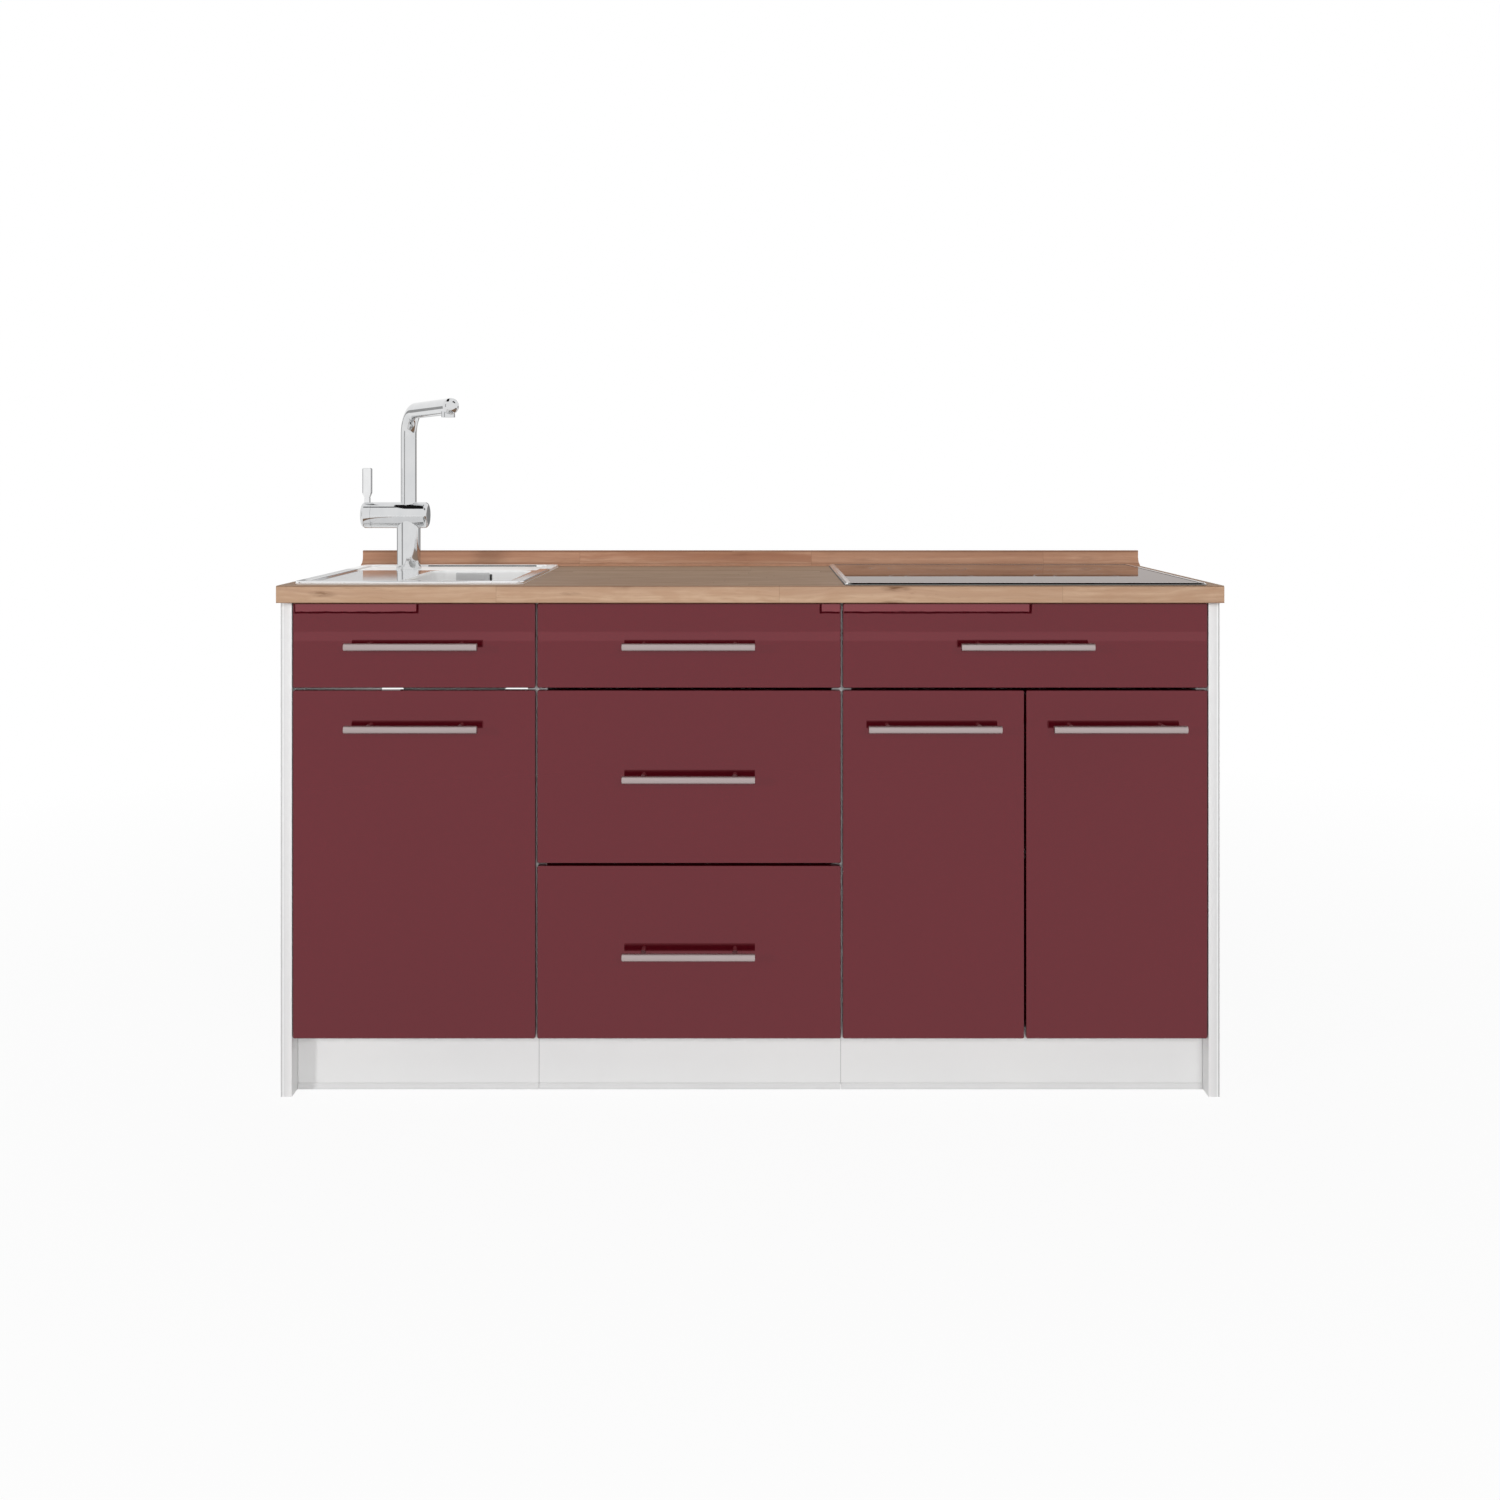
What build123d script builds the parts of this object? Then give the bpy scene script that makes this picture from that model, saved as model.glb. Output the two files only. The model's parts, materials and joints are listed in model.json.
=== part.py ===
from build123d import *
import os
from math import cos, radians, sin

# Kitchen block: a sink unit, a drawer unit and a hob unit under one worktop.
# Millimetres. X runs to the right, Y to the back and Z up, from the middle of the footprint.

# Base units, from left to right
SINK_UNIT_W = 400.0
DRAWER_UNIT_W = 500.0
HOB_UNIT_W = 600.0
CARCASS_H = 717.5
BOARD_T = 16.0
BACK_T = 8.0
RAIL_H = 40.0
END_PANEL_T = 18.0
SHELF_SETBACK = 30.0

# Plinth and levelling feet
PLINTH_H = 92.0
PLINTH_FLOOR_GAP = 5.0
PLINTH_RECESS = 36.0
PLINTH_JOINT = 1.0
FOOT_PAD_R = 22.0
FOOT_PAD_H = 8.0
FOOT_STEM_R = 12.0
FOOT_PLATE_R = 28.0
FOOT_PLATE_H = 5.0
FOOT_INSET = 60.0

# Worktop and wall strip
WORKTOP_D = 600.0
WORKTOP_T = 28.0
WORKTOP_SIDE_LAP = 2.0
WORKTOP_FRONT_LAP = 20.0
WORKTOP_EDGE_R = 3.0
STRIP_H = 29.5
STRIP_FOOT_D = 25.0
STRIP_TOP_D = 10.0
STRIP_LIP_H = 3.0
STRIP_CREST_H = 7.0
STRIP_COVE = 4.0

# Door and drawer fronts
FRONT_T = 16.0
FRONT_EDGE_R = 2.0
FRONT_CORNER_R = 3.0
FRONT_GAP = 4.0
FRONT_SIDE_GAP = 3.0
FRONT_SETOFF = 2.0
FRONT_FOOT_GAP = 3.0
FRONT_HEAD_GAP = 1.5
TOP_FRONT_H = 139.0

# Bar handles
BAR_R = 6.4
BAR_L = 216.0
BAR_END_R = 1.0
POST_R = 4.0
POST_SPACING = 150.0
HANDLE_REACH = 35.0
DOOR_HANDLE_DROP = 60.0

# Drawer boxes and runners
DRAWER_BACK_GAP = 56.0
DRAWER_HEAD_GAP = 11.0
DRAWER_SIDE_T = 12.0
DRAWER_BOARD_T = 12.0
DRAWER_LIFT = 22.0
DEEP_BOX_H = 180.0
RUNNER_W = 12.7
RUNNER_H = 24.0
RUNNER_WALL = 1.5
RUNNER_LIFT = 20.0
RUNNER_SETBACK = 4.0
RUN_GAP = 0.3

# Concealed hinges
CUP_R = 17.4
CUP_HOLE_GAP = 0.1
CUP_WALL = 1.2
CUP_DEPTH = 11.5
CUP_FROM_EDGE = 21.5
CUP_FLANGE_W = 39.0
CUP_FLANGE_H = 52.0
CUP_FLANGE_T = 1.5
HINGE_FROM_END = 90.0
HINGE_ARM_W = 12.0
HINGE_ARM_H = 12.0
HINGE_ARM_STANDOFF = 5.0
HINGE_PLATE_T = 3.0
HINGE_PLATE_D = 45.0
HINGE_PLATE_H = 50.0
HINGE_PLATE_SETBACK = 20.0

# Brackets of the fixed panel in front of the sink
BRACKET_T = 2.0
BRACKET_LEG = 40.0
BRACKET_FOOT = 30.0
BRACKET_H = 40.0

# Inset sink
SINK_SIDE_GAP = 11.0
SINK_BACK_GAP = 40.0
SINK_SHIFT_X = -13.0
SINK_FROM_EDGE = 35.0
SINK_CORNER_R = 15.0
RIM_W = 20.0
RIM_H = 5.0
RIM_EDGE_R = 2.0
DECK_H = 2.0
DECK_CORNER_R = 15.0
SHEET_T = 1.0
SKIRT_W = 4.0
SINK_CUT_INSET = 14.0
SINK_CUT_CORNER_R = 20.0
BOWL_W = 180.0
BOWL_H = 190.0
BOWL_FROM_BACK = 145.0
BOWL_FROM_RIGHT = 33.0
BOWL_FROM_FRONT = 31.0
BOWL_CORNER_R = 30.0
BOWL_BOTTOM_R = 25.0
BOWL_LIP_R = 4.0
COLLAR_W = 5.0
COLLAR_H = 5.0

# Drain, strainer and bottle trap
DRAIN_FLANGE_R = 56.0
DRAIN_FLANGE_H = 2.0
DRAIN_R = 44.0
DRAIN_HOLE_GAP = 1.0
DRAIN_WALL = 3.0
DRAIN_LEDGE_W = 4.0
DRAIN_LEDGE_DROP = 10.0
DRAIN_H = 48.0
NUT_W = 10.0
NUT_H = 8.0
TAIL_R = 20.0
TAIL_WALL = 2.0
TAIL_L = 50.0
STRAINER_T = 3.0
STRAINER_GAP = 1.0
STRAINER_HOLE_R = 2.5
STRAINER_HOLES = 10
STRAINER_RING = 0.62
KNOB_R = 8.0
KNOB_H = 14.0
TRAP_R = 34.0
TRAP_H = 120.0
TRAP_EDGE_R = 6.0
WASTE_R = 20.0
WASTE_DROP = 40.0
WASTE_SPIGOT_L = 60.0
SOCKET_R = 25.0
SOCKET_L = 30.0

# Glass hob
HOB_SIDE_GAP = 5.0
HOB_BACK_GAP = 10.0
HOB_FROM_EDGE = 8.0
HOB_RAIL_GAP = 6.0
HOB_CORNER_R = 8.0
HOB_FRAME_W = 10.0
HOB_FRAME_H = 4.2
HOB_BEVEL = 2.5
HOB_LEDGE_W = 4.0
HOB_LEDGE_T = 0.8
GLASS_T = 3.0
GLASS_GAP = 0.3
HOB_CASE_GAP = 1.0
HOB_CASE_DEPTH = 44.0
HOB_CASE_WALL = 1.0
HOB_CUT_GAP = 2.0
HOB_CUT_CORNER_R = 4.0
HEATER_H = 22.0
FRONT_HEATER_R = 72.0
BACK_HEATER_R = 90.0
HEATER_SPREAD_X = 135.0
HEATER_SPREAD_Y = 115.0
GLAND_R = 9.0
GLAND_L = 14.0

# Mixer tap
TAP_FROM_LEFT = 107.0
TAP_FROM_BOWL = 40.0
TAP_BASE_R = 23.5
TAP_BASE_H = 4.0
TAP_BODY_R = 22.0
BARREL_R = 24.5
BARREL_H = 104.0
BARREL_LEFT = 68.0
BARREL_RIGHT = 37.5
BARREL_END_R = 7.0
RISER_R = 14.7
SHANK_R = 16.0
SHANK_L = 58.0
TAP_HOLE_GAP = 1.5
TAP_NUT_R = 25.0
TAP_NUT_H = 10.0
INLET_R = 4.5
INLET_L = 16.0
INLET_SPACING = 15.0
SPOUT_R = 14.7
SPOUT_BEND_R = 45.0
SPOUT_FOOT_L = 6.0
SPOUT_HEIGHT = 300.0
SPOUT_REACH = 230.0
SPOUT_TURN = 31.4
SPOUT_RISE = 0.6
SPOUT_TIP_FLAT_R = 2.0
JOURNAL_R = 10.0
JOURNAL_L = 28.0
AERATOR_R = 12.0
AERATOR_H = 3.0
AERATOR_INSET = 24.0
SPINDLE_R = 8.0
SPINDLE_L = 20.0
CAP_L = 19.0
CAP_END_R = 6.0
FIT_GAP = 0.05
LEVER_NECK_W = 10.0
LEVER_NECK_T = 8.0
LEVER_W = 18.0
LEVER_T = 7.0
LEVER_H = 64.5
LEVER_NECK_H = 8.0
LEVER_SHOULDER_H = 18.0
LEVER_TIP_R = 3.0
LEVER_EDGE_R = 2.0
LEVER_PIVOT_DROP = 10.0
LEVER_PIVOT_R = 2.0
LEVER_PIVOT_L = 16.0
LEVER_FROM_END = 9.0
LEVER_SLOT_GAP = 0.3

# Heights
Z_BASE = PLINTH_H
Z_FLOORBOARD = Z_BASE + BOARD_T
Z_UNDER = Z_BASE + CARCASS_H
Z_TOP = Z_UNDER + WORKTOP_T
Z_RAIL = Z_UNDER - RAIL_H
FRONTS_LOW = Z_BASE + FRONT_FOOT_GAP
FRONTS_HIGH = Z_UNDER - FRONT_HEAD_GAP
TOP_LOW = FRONTS_HIGH - TOP_FRONT_H
LOWER_HIGH = TOP_LOW - FRONT_GAP
DEEP_FRONT_H = (LOWER_HIGH - FRONTS_LOW - FRONT_GAP) / 2
MIDDLE_LOW = LOWER_HIGH - DEEP_FRONT_H
SHALLOW_BOX_H = Z_RAIL - DRAWER_HEAD_GAP - TOP_LOW - DRAWER_LIFT

# Depths, with the bar handles' fronts and the worktop's back edge as the outermost faces
Y_BACK = (HANDLE_REACH + WORKTOP_D - WORKTOP_FRONT_LAP) / 2
Y_EDGE = Y_BACK - WORKTOP_D
Y_FACE = Y_EDGE + WORKTOP_FRONT_LAP
Y_FRONT_BACK = Y_FACE + FRONT_T
Y_CARCASS = Y_FRONT_BACK + FRONT_SETOFF
Y_PLINTH = Y_FACE + PLINTH_RECESS
Y_STRIP = Y_BACK - STRIP_FOOT_D
DRAWER_L = Y_BACK - BACK_T - DRAWER_BACK_GAP - Y_FRONT_BACK
RUNNER_L = DRAWER_L

# Widths
BLOCK_W = SINK_UNIT_W + DRAWER_UNIT_W + HOB_UNIT_W
X_SINK = -BLOCK_W / 2
X_DRAWER = X_SINK + SINK_UNIT_W
X_HOB = X_DRAWER + DRAWER_UNIT_W
X_END = X_HOB + HOB_UNIT_W
X_HOB_MID = (X_HOB + X_END) / 2
UNITS = {"sink": (X_SINK, X_DRAWER), "drawer": (X_DRAWER, X_HOB), "hob": (X_HOB, X_END)}
WORKTOP_HALF_W = BLOCK_W / 2 + END_PANEL_T + WORKTOP_SIDE_LAP

# Sink, bowl and tap: the sink fills its unit's width and the depth up to the wall strip
SINK_W = SINK_UNIT_W - 2 * SINK_SIDE_GAP
SINK_D = Y_STRIP - SINK_BACK_GAP - Y_EDGE - SINK_FROM_EDGE
SINK_X = (X_SINK + X_DRAWER) / 2 + SINK_SHIFT_X
SINK_Y = Y_EDGE + SINK_FROM_EDGE + SINK_D / 2
Z_DECK = Z_TOP + DECK_H
Z_RIM = Z_TOP + RIM_H
Z_BOWL = Z_DECK - BOWL_H
BOWL_D = SINK_D - BOWL_FROM_FRONT - BOWL_FROM_BACK
BOWL_X = SINK_X + SINK_W / 2 - BOWL_FROM_RIGHT - BOWL_W / 2
BOWL_Y = SINK_Y - SINK_D / 2 + BOWL_FROM_FRONT + BOWL_D / 2
TAP_X = SINK_X - SINK_W / 2 + TAP_FROM_LEFT
TAP_Y = BOWL_Y + BOWL_D / 2 + TAP_FROM_BOWL
RISER_TOP = SPOUT_HEIGHT - SPOUT_BEND_R - SPOUT_FOOT_L

# Hob: its frame comes close to the worktop's front edge, its tray hangs behind the front rail
HOB_CASE_INSET = HOB_FRAME_W + HOB_LEDGE_W + HOB_CASE_GAP
HOB_FRONT = Y_EDGE + HOB_FROM_EDGE
HOB_W = HOB_UNIT_W - 2 * HOB_SIDE_GAP
HOB_D = Y_STRIP - HOB_BACK_GAP - HOB_FRONT
HOB_Y = HOB_FRONT + HOB_D / 2
CASE_FRONT = Y_CARCASS + BOARD_T + HOB_RAIL_GAP
CASE_W = HOB_W - 2 * HOB_CASE_INSET
CASE_D = HOB_FRONT + HOB_D - HOB_CASE_INSET - CASE_FRONT
CASE_Y = CASE_FRONT + CASE_D / 2

UPRIGHT = (Align.CENTER, Align.CENTER, Align.MIN)


def block(low, high):
    """A box between two opposite corners."""
    size = [b - a for a, b in zip(low, high)]
    return Pos(*low) * Box(*size, align=(Align.MIN, Align.MIN, Align.MIN))


def rod_x(x, y, z, radius, length):
    """A round bar that runs to the right from a point on its axis."""
    return Pos(x, y, z) * Rot(0, 90, 0) * Cylinder(radius, length, align=UPRIGHT)


def rod_y(x, y, z, radius, length):
    """A round bar that runs to the back from a point on its axis."""
    return Pos(x, y, z) * Rot(-90, 0, 0) * Cylinder(radius, length, align=UPRIGHT)


def rod_z(x, y, z, radius, length):
    """A round bar that runs upwards from a point on its axis."""
    return Pos(x, y, z) * Cylinder(radius, length, align=UPRIGHT)


def slab(x, y, width, depth, radius, low, high):
    """A flat plate with rounded upright corners."""
    return extrude(Pos(x, y, low) * RectangleRounded(width, depth, radius), high - low)


def end_edges(solid, axis, end):
    """The edges of a solid's first (0) or last (-1) face along an axis."""
    return solid.faces().sort_by(axis)[end].edges()


def write(name, *pieces):
    """Write one node: a single solid, or a group of separate ones."""
    solids = [s for piece in pieces for s in piece.solids()]
    shape = solids[0] if len(solids) == 1 else Compound(children=solids)
    export_step(shape, f"parts/{name}.step")


def unit_sides(unit):
    x0, x1 = UNITS[unit]
    return [
        block((x, Y_CARCASS, Z_BASE), (x + BOARD_T, Y_BACK, Z_UNDER))
        for x in (x0, x1 - BOARD_T)
    ]


def unit_bottom(unit):
    x0, x1 = UNITS[unit]
    return block((x0 + BOARD_T, Y_CARCASS, Z_BASE), (x1 - BOARD_T, Y_BACK, Z_FLOORBOARD))


def unit_back(unit):
    x0, x1 = UNITS[unit]
    return block((x0 + BOARD_T, Y_BACK - BACK_T, Z_FLOORBOARD), (x1 - BOARD_T, Y_BACK, Z_UNDER))


def unit_rails(unit):
    """The upright boards that tie a unit's sides together under the worktop."""
    x0, x1 = UNITS[unit]
    rear = Y_BACK - BOARD_T - (0.0 if unit == "sink" else BACK_T)
    return [
        block((x0 + BOARD_T, y, Z_RAIL), (x1 - BOARD_T, y + BOARD_T, Z_UNDER))
        for y in (Y_CARCASS, rear)
    ]


def shelf():
    x0, x1 = UNITS["hob"]
    middle = (Z_FLOORBOARD + LOWER_HIGH - BOARD_T) / 2
    return block(
        (x0 + BOARD_T, Y_CARCASS + SHELF_SETBACK, middle),
        (x1 - BOARD_T, Y_BACK - BACK_T, middle + BOARD_T),
    )


def end_panel(inner, outer):
    return block((min(inner, outer), Y_FACE, 0), (max(inner, outer), Y_BACK, Z_UNDER))


def plinth(unit):
    x0, x1 = UNITS[unit]
    half_joint = PLINTH_JOINT / 2
    return block(
        (x0 + half_joint, Y_PLINTH, PLINTH_FLOOR_GAP),
        (x1 - half_joint, Y_PLINTH + BOARD_T, Z_BASE),
    )


def feet():
    """Four levelling feet under each unit, from the floor to the bottom board."""
    front = Y_PLINTH + BOARD_T + FOOT_INSET
    pieces = []
    for x0, x1 in UNITS.values():
        for x in (x0 + FOOT_INSET, x1 - FOOT_INSET):
            for y in (front, Y_BACK - FOOT_INSET):
                foot = rod_z(x, y, 0, FOOT_STEM_R, Z_BASE)
                foot += rod_z(x, y, 0, FOOT_PAD_R, FOOT_PAD_H)
                foot += rod_z(x, y, Z_BASE - FOOT_PLATE_H, FOOT_PLATE_R, FOOT_PLATE_H)
                pieces.append(foot)
    return pieces


def worktop():
    top = block((-WORKTOP_HALF_W, Y_EDGE, Z_UNDER), (WORKTOP_HALF_W, Y_BACK, Z_TOP))
    front = top.faces().sort_by(Axis.Y)[0]
    top = fillet(front.edges().sort_by(Axis.Z)[-1], WORKTOP_EDGE_R)
    for x, y, width, depth, radius in (
        (
            SINK_X,
            SINK_Y,
            SINK_W - 2 * SINK_CUT_INSET,
            SINK_D - 2 * SINK_CUT_INSET,
            SINK_CUT_CORNER_R,
        ),
        (
            X_HOB_MID,
            CASE_Y,
            CASE_W + 2 * HOB_CUT_GAP,
            CASE_D + 2 * HOB_CUT_GAP,
            HOB_CUT_CORNER_R,
        ),
    ):
        top -= slab(x, y, width, depth, radius, Z_UNDER, Z_TOP)
    return top


def wall_strip():
    """The cove-shaped strip along the worktop's back edge."""
    crest_y = Y_BACK - STRIP_TOP_D
    lip = (Y_STRIP, Z_TOP + STRIP_LIP_H)
    crest = (crest_y, Z_TOP + STRIP_H - STRIP_CREST_H)
    hollow = ((lip[0] + crest[0]) / 2 + STRIP_COVE, (lip[1] + crest[1]) / 2 - STRIP_COVE)
    outline = (
        Polyline(
            (crest_y, Z_TOP + STRIP_H),
            (Y_BACK, Z_TOP + STRIP_H),
            (Y_BACK, Z_TOP),
            (Y_STRIP, Z_TOP),
            lip,
        )
        + ThreePointArc(lip, hollow, crest)
        + Line(crest, (crest_y, Z_TOP + STRIP_H))
    )
    left_end = Plane(origin=(-WORKTOP_HALF_W, 0, 0), x_dir=(0, 1, 0), z_dir=(1, 0, 0))
    return extrude(left_end * make_face(outline), 2 * WORKTOP_HALF_W)


def front_panel(x0, x1, low, high):
    """A foil-wrapped front with rounded corners and softly rounded face edges."""
    panel = block((x0, Y_FACE, low), (x1, Y_FRONT_BACK, high))
    panel = fillet(panel.edges().filter_by(Axis.Y), FRONT_CORNER_R)
    return fillet(end_edges(panel, Axis.Y, 0), FRONT_EDGE_R)


def handle(x, z):
    """A bar on two posts."""
    y = Y_FACE - HANDLE_REACH + BAR_R
    bar = rod_x(x - BAR_L / 2, y, z, BAR_R, BAR_L)
    posts = [
        rod_y(x + side * POST_SPACING / 2, y, z, POST_R, Y_FACE - y) - bar
        for side in (-1, 1)
    ]
    bar = fillet(end_edges(bar, Axis.X, 0) + end_edges(bar, Axis.X, -1), BAR_END_R)
    return [bar, *posts]


def drawer(name, unit, low, high, box_h):
    """Write one drawer's pieces and return its two cabinet runners."""
    x0, x1 = UNITS[unit]
    write(f"{name}_front", front_panel(x0 + FRONT_SIDE_GAP / 2, x1 - FRONT_SIDE_GAP / 2, low, high))
    write(f"{name}_handle", *handle((x0 + x1) / 2, (low + high) / 2))

    floor = low + DRAWER_LIFT
    y0 = Y_FRONT_BACK
    y1 = y0 + DRAWER_L
    rail_z = floor + RUNNER_LIFT
    rail_y = Y_CARCASS + RUNNER_SETBACK
    sides, runners, inner = [], [], []
    for wall, way in ((x0 + BOARD_T, 1), (x1 - BOARD_T, -1)):
        web = wall + way * RUNNER_WALL
        mouth = wall + way * RUNNER_W
        outer = mouth + way * RUN_GAP
        inner.append(outer + way * DRAWER_SIDE_T)
        channel = block(
            (min(wall, mouth), rail_y, rail_z),
            (max(wall, mouth), rail_y + RUNNER_L, rail_z + RUNNER_H),
        )
        channel -= block(
            (min(web, mouth), rail_y, rail_z + RUNNER_WALL),
            (max(web, mouth), rail_y + RUNNER_L, rail_z + RUNNER_H - RUNNER_WALL),
        )
        runners.append(channel)
        side = block((min(outer, inner[-1]), y0, floor), (max(outer, inner[-1]), y1, floor + box_h))
        tongue_x = web + way * RUN_GAP
        side += block(
            (min(tongue_x, outer), rail_y, rail_z + RUNNER_WALL + RUN_GAP),
            (max(tongue_x, outer), y1, rail_z + RUNNER_H - RUNNER_WALL - RUN_GAP),
        )
        sides.append(side)
    write(f"{name}_sides", *sides)

    left, right = inner
    bottom = block((left, y0, floor), (right, y1, floor + DRAWER_BOARD_T))
    back = block(
        (left, y1 - DRAWER_BOARD_T, floor + DRAWER_BOARD_T),
        (right, y1, floor + box_h),
    )
    write(f"{name}_base", bottom, back)
    return runners


def door(name, x0, x1, hinge_x, wall_x, way):
    """Write one door's pieces and return its two cabinet-side hinge arms."""
    panel = front_panel(x0, x1, FRONTS_LOW, LOWER_HIGH)
    cup_x = hinge_x + way * CUP_FROM_EDGE
    cup_y = Y_FRONT_BACK - CUP_DEPTH
    cups, arms = [], []
    for z in (FRONTS_LOW + HINGE_FROM_END, LOWER_HIGH - HINGE_FROM_END):
        panel -= rod_y(cup_x, cup_y, z, CUP_R + CUP_HOLE_GAP, CUP_DEPTH)
        cup = rod_y(cup_x, cup_y, z, CUP_R, CUP_DEPTH)
        flange_z = (z - CUP_FLANGE_H / 2, z + CUP_FLANGE_H / 2)
        cup += block(
            (cup_x - CUP_FLANGE_W / 2, Y_FRONT_BACK, flange_z[0]),
            (cup_x + CUP_FLANGE_W / 2, Y_FRONT_BACK + CUP_FLANGE_T, flange_z[1]),
        )
        mouth_l = CUP_DEPTH + CUP_FLANGE_T - CUP_WALL
        cup -= rod_y(cup_x, cup_y + CUP_WALL, z, CUP_R - CUP_WALL, mouth_l)
        cups.append(cup)

        plate_x = wall_x + way * HINGE_PLATE_T
        near_x = wall_x + way * HINGE_ARM_STANDOFF
        far_x = near_x + way * HINGE_ARM_W
        plate_y = Y_CARCASS + HINGE_PLATE_SETBACK
        arm = block(
            (min(wall_x, plate_x), plate_y, z - HINGE_PLATE_H / 2),
            (max(wall_x, plate_x), plate_y + HINGE_PLATE_D, z + HINGE_PLATE_H / 2),
        )
        arm += block(
            (min(wall_x, far_x), plate_y, z - HINGE_ARM_H / 2),
            (max(wall_x, far_x), plate_y + HINGE_PLATE_D, z + HINGE_ARM_H / 2),
        )
        arm += block(
            (min(near_x, far_x), cup_y + CUP_WALL + RUN_GAP, z - HINGE_ARM_H / 2),
            (max(near_x, far_x), plate_y, z + HINGE_ARM_H / 2),
        )
        arms.append(arm)
    write(name, panel)
    write(f"{name}_hinge_cups", *cups)
    write(f"{name}_handle", *handle((x0 + x1) / 2, LOWER_HIGH - DOOR_HANDLE_DROP))
    return arms


def panel_brackets():
    """Angle brackets that hold the fixed panel to the sink unit's sides."""
    x0, x1 = UNITS["sink"]
    low = Z_RAIL - BRACKET_H
    pieces = []
    for wall, way in ((x0 + BOARD_T, 1), (x1 - BOARD_T, -1)):
        leg_x = wall + way * BRACKET_T
        foot_x = wall + way * BRACKET_FOOT
        bracket = block(
            (min(wall, leg_x), Y_FRONT_BACK, low),
            (max(wall, leg_x), Y_FRONT_BACK + BRACKET_LEG, Z_RAIL),
        )
        bracket += block(
            (min(wall, foot_x), Y_FRONT_BACK, low),
            (max(wall, foot_x), Y_FRONT_BACK + BRACKET_T, Z_RAIL),
        )
        pieces.append(bracket)
    return pieces


def sink_basin():
    """The pressed-steel sink: raised rim, flat deck, bowl, drain hole and tap hole."""
    basin = slab(SINK_X, SINK_Y, SINK_W, SINK_D, SINK_CORNER_R, Z_TOP, Z_RIM)
    basin -= slab(SINK_X, SINK_Y, SINK_W - 2 * RIM_W, SINK_D - 2 * RIM_W, DECK_CORNER_R, Z_DECK, Z_RIM)
    basin = fillet(end_edges(basin, Axis.Z, -1), RIM_EDGE_R)
    basin -= slab(
        SINK_X,
        SINK_Y,
        SINK_W - 2 * SKIRT_W,
        SINK_D - 2 * SKIRT_W,
        SINK_CORNER_R - SKIRT_W,
        Z_TOP,
        Z_DECK - SHEET_T,
    )
    basin += slab(
        BOWL_X,
        BOWL_Y,
        BOWL_W + 2 * COLLAR_W,
        BOWL_D + 2 * COLLAR_W,
        BOWL_CORNER_R + COLLAR_W,
        Z_DECK - COLLAR_H,
        Z_DECK,
    )
    outside = slab(
        BOWL_X,
        BOWL_Y,
        BOWL_W + 2 * SHEET_T,
        BOWL_D + 2 * SHEET_T,
        BOWL_CORNER_R + SHEET_T,
        Z_BOWL - SHEET_T,
        Z_DECK,
    )
    inside = slab(BOWL_X, BOWL_Y, BOWL_W, BOWL_D, BOWL_CORNER_R, Z_BOWL, Z_DECK)
    basin += fillet(end_edges(outside, Axis.Z, 0), BOWL_BOTTOM_R + SHEET_T)
    basin -= fillet(end_edges(inside, Axis.Z, 0), BOWL_BOTTOM_R)
    lip = [
        edge
        for edge in basin.edges().filter_by_position(Axis.Z, Z_DECK - FIT_GAP, Z_DECK + FIT_GAP)
        if abs(edge.center().X - BOWL_X) <= BOWL_W / 2 + FIT_GAP
        and abs(edge.center().Y - BOWL_Y) <= BOWL_D / 2 + FIT_GAP
    ]
    basin = fillet(lip, BOWL_LIP_R)
    basin -= rod_z(BOWL_X, BOWL_Y, Z_BOWL - SHEET_T, DRAIN_R + DRAIN_HOLE_GAP, SHEET_T)
    basin -= rod_z(TAP_X, TAP_Y, Z_TOP, SHANK_R + TAP_HOLE_GAP, DECK_H)
    return basin


def drain():
    """The drain cup with its flange in the bowl, its nut below and its tail pipe."""
    bottom = Z_BOWL - DRAIN_H
    ledge = Z_BOWL - DRAIN_LEDGE_DROP
    cup = rod_z(BOWL_X, BOWL_Y, bottom, DRAIN_R, DRAIN_H)
    cup += rod_z(BOWL_X, BOWL_Y, Z_BOWL, DRAIN_FLANGE_R, DRAIN_FLANGE_H)
    cup += rod_z(BOWL_X, BOWL_Y, Z_BOWL - SHEET_T - NUT_H, DRAIN_R + NUT_W, NUT_H)
    cup += rod_z(BOWL_X, BOWL_Y, bottom - TAIL_L, TAIL_R, TAIL_L)
    bore = DRAIN_R - DRAIN_WALL
    cup -= rod_z(BOWL_X, BOWL_Y, ledge, bore, DRAIN_LEDGE_DROP + DRAIN_FLANGE_H)
    cup -= rod_z(BOWL_X, BOWL_Y, bottom + DRAIN_WALL, bore - DRAIN_LEDGE_W, ledge - bottom - DRAIN_WALL)
    cup -= rod_z(BOWL_X, BOWL_Y, bottom - TAIL_L, TAIL_R - TAIL_WALL, TAIL_L + DRAIN_WALL)
    return cup


def strainer():
    """A lift-out sieve plate with a knob, on the drain's inner ledge."""
    seat = Z_BOWL - DRAIN_LEDGE_DROP + RUN_GAP
    radius = DRAIN_R - DRAIN_WALL - STRAINER_GAP
    plate = rod_z(BOWL_X, BOWL_Y, seat, radius, STRAINER_T)
    ring = PolarLocations(radius * STRAINER_RING, STRAINER_HOLES)
    for place in ring:
        plate -= Pos(BOWL_X, BOWL_Y, seat) * place * Cylinder(STRAINER_HOLE_R, STRAINER_T, align=UPRIGHT)
    knob = rod_z(BOWL_X, BOWL_Y, seat + STRAINER_T, KNOB_R, KNOB_H)
    return plate + fillet(end_edges(knob, Axis.Z, -1), KNOB_R / 2)


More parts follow.
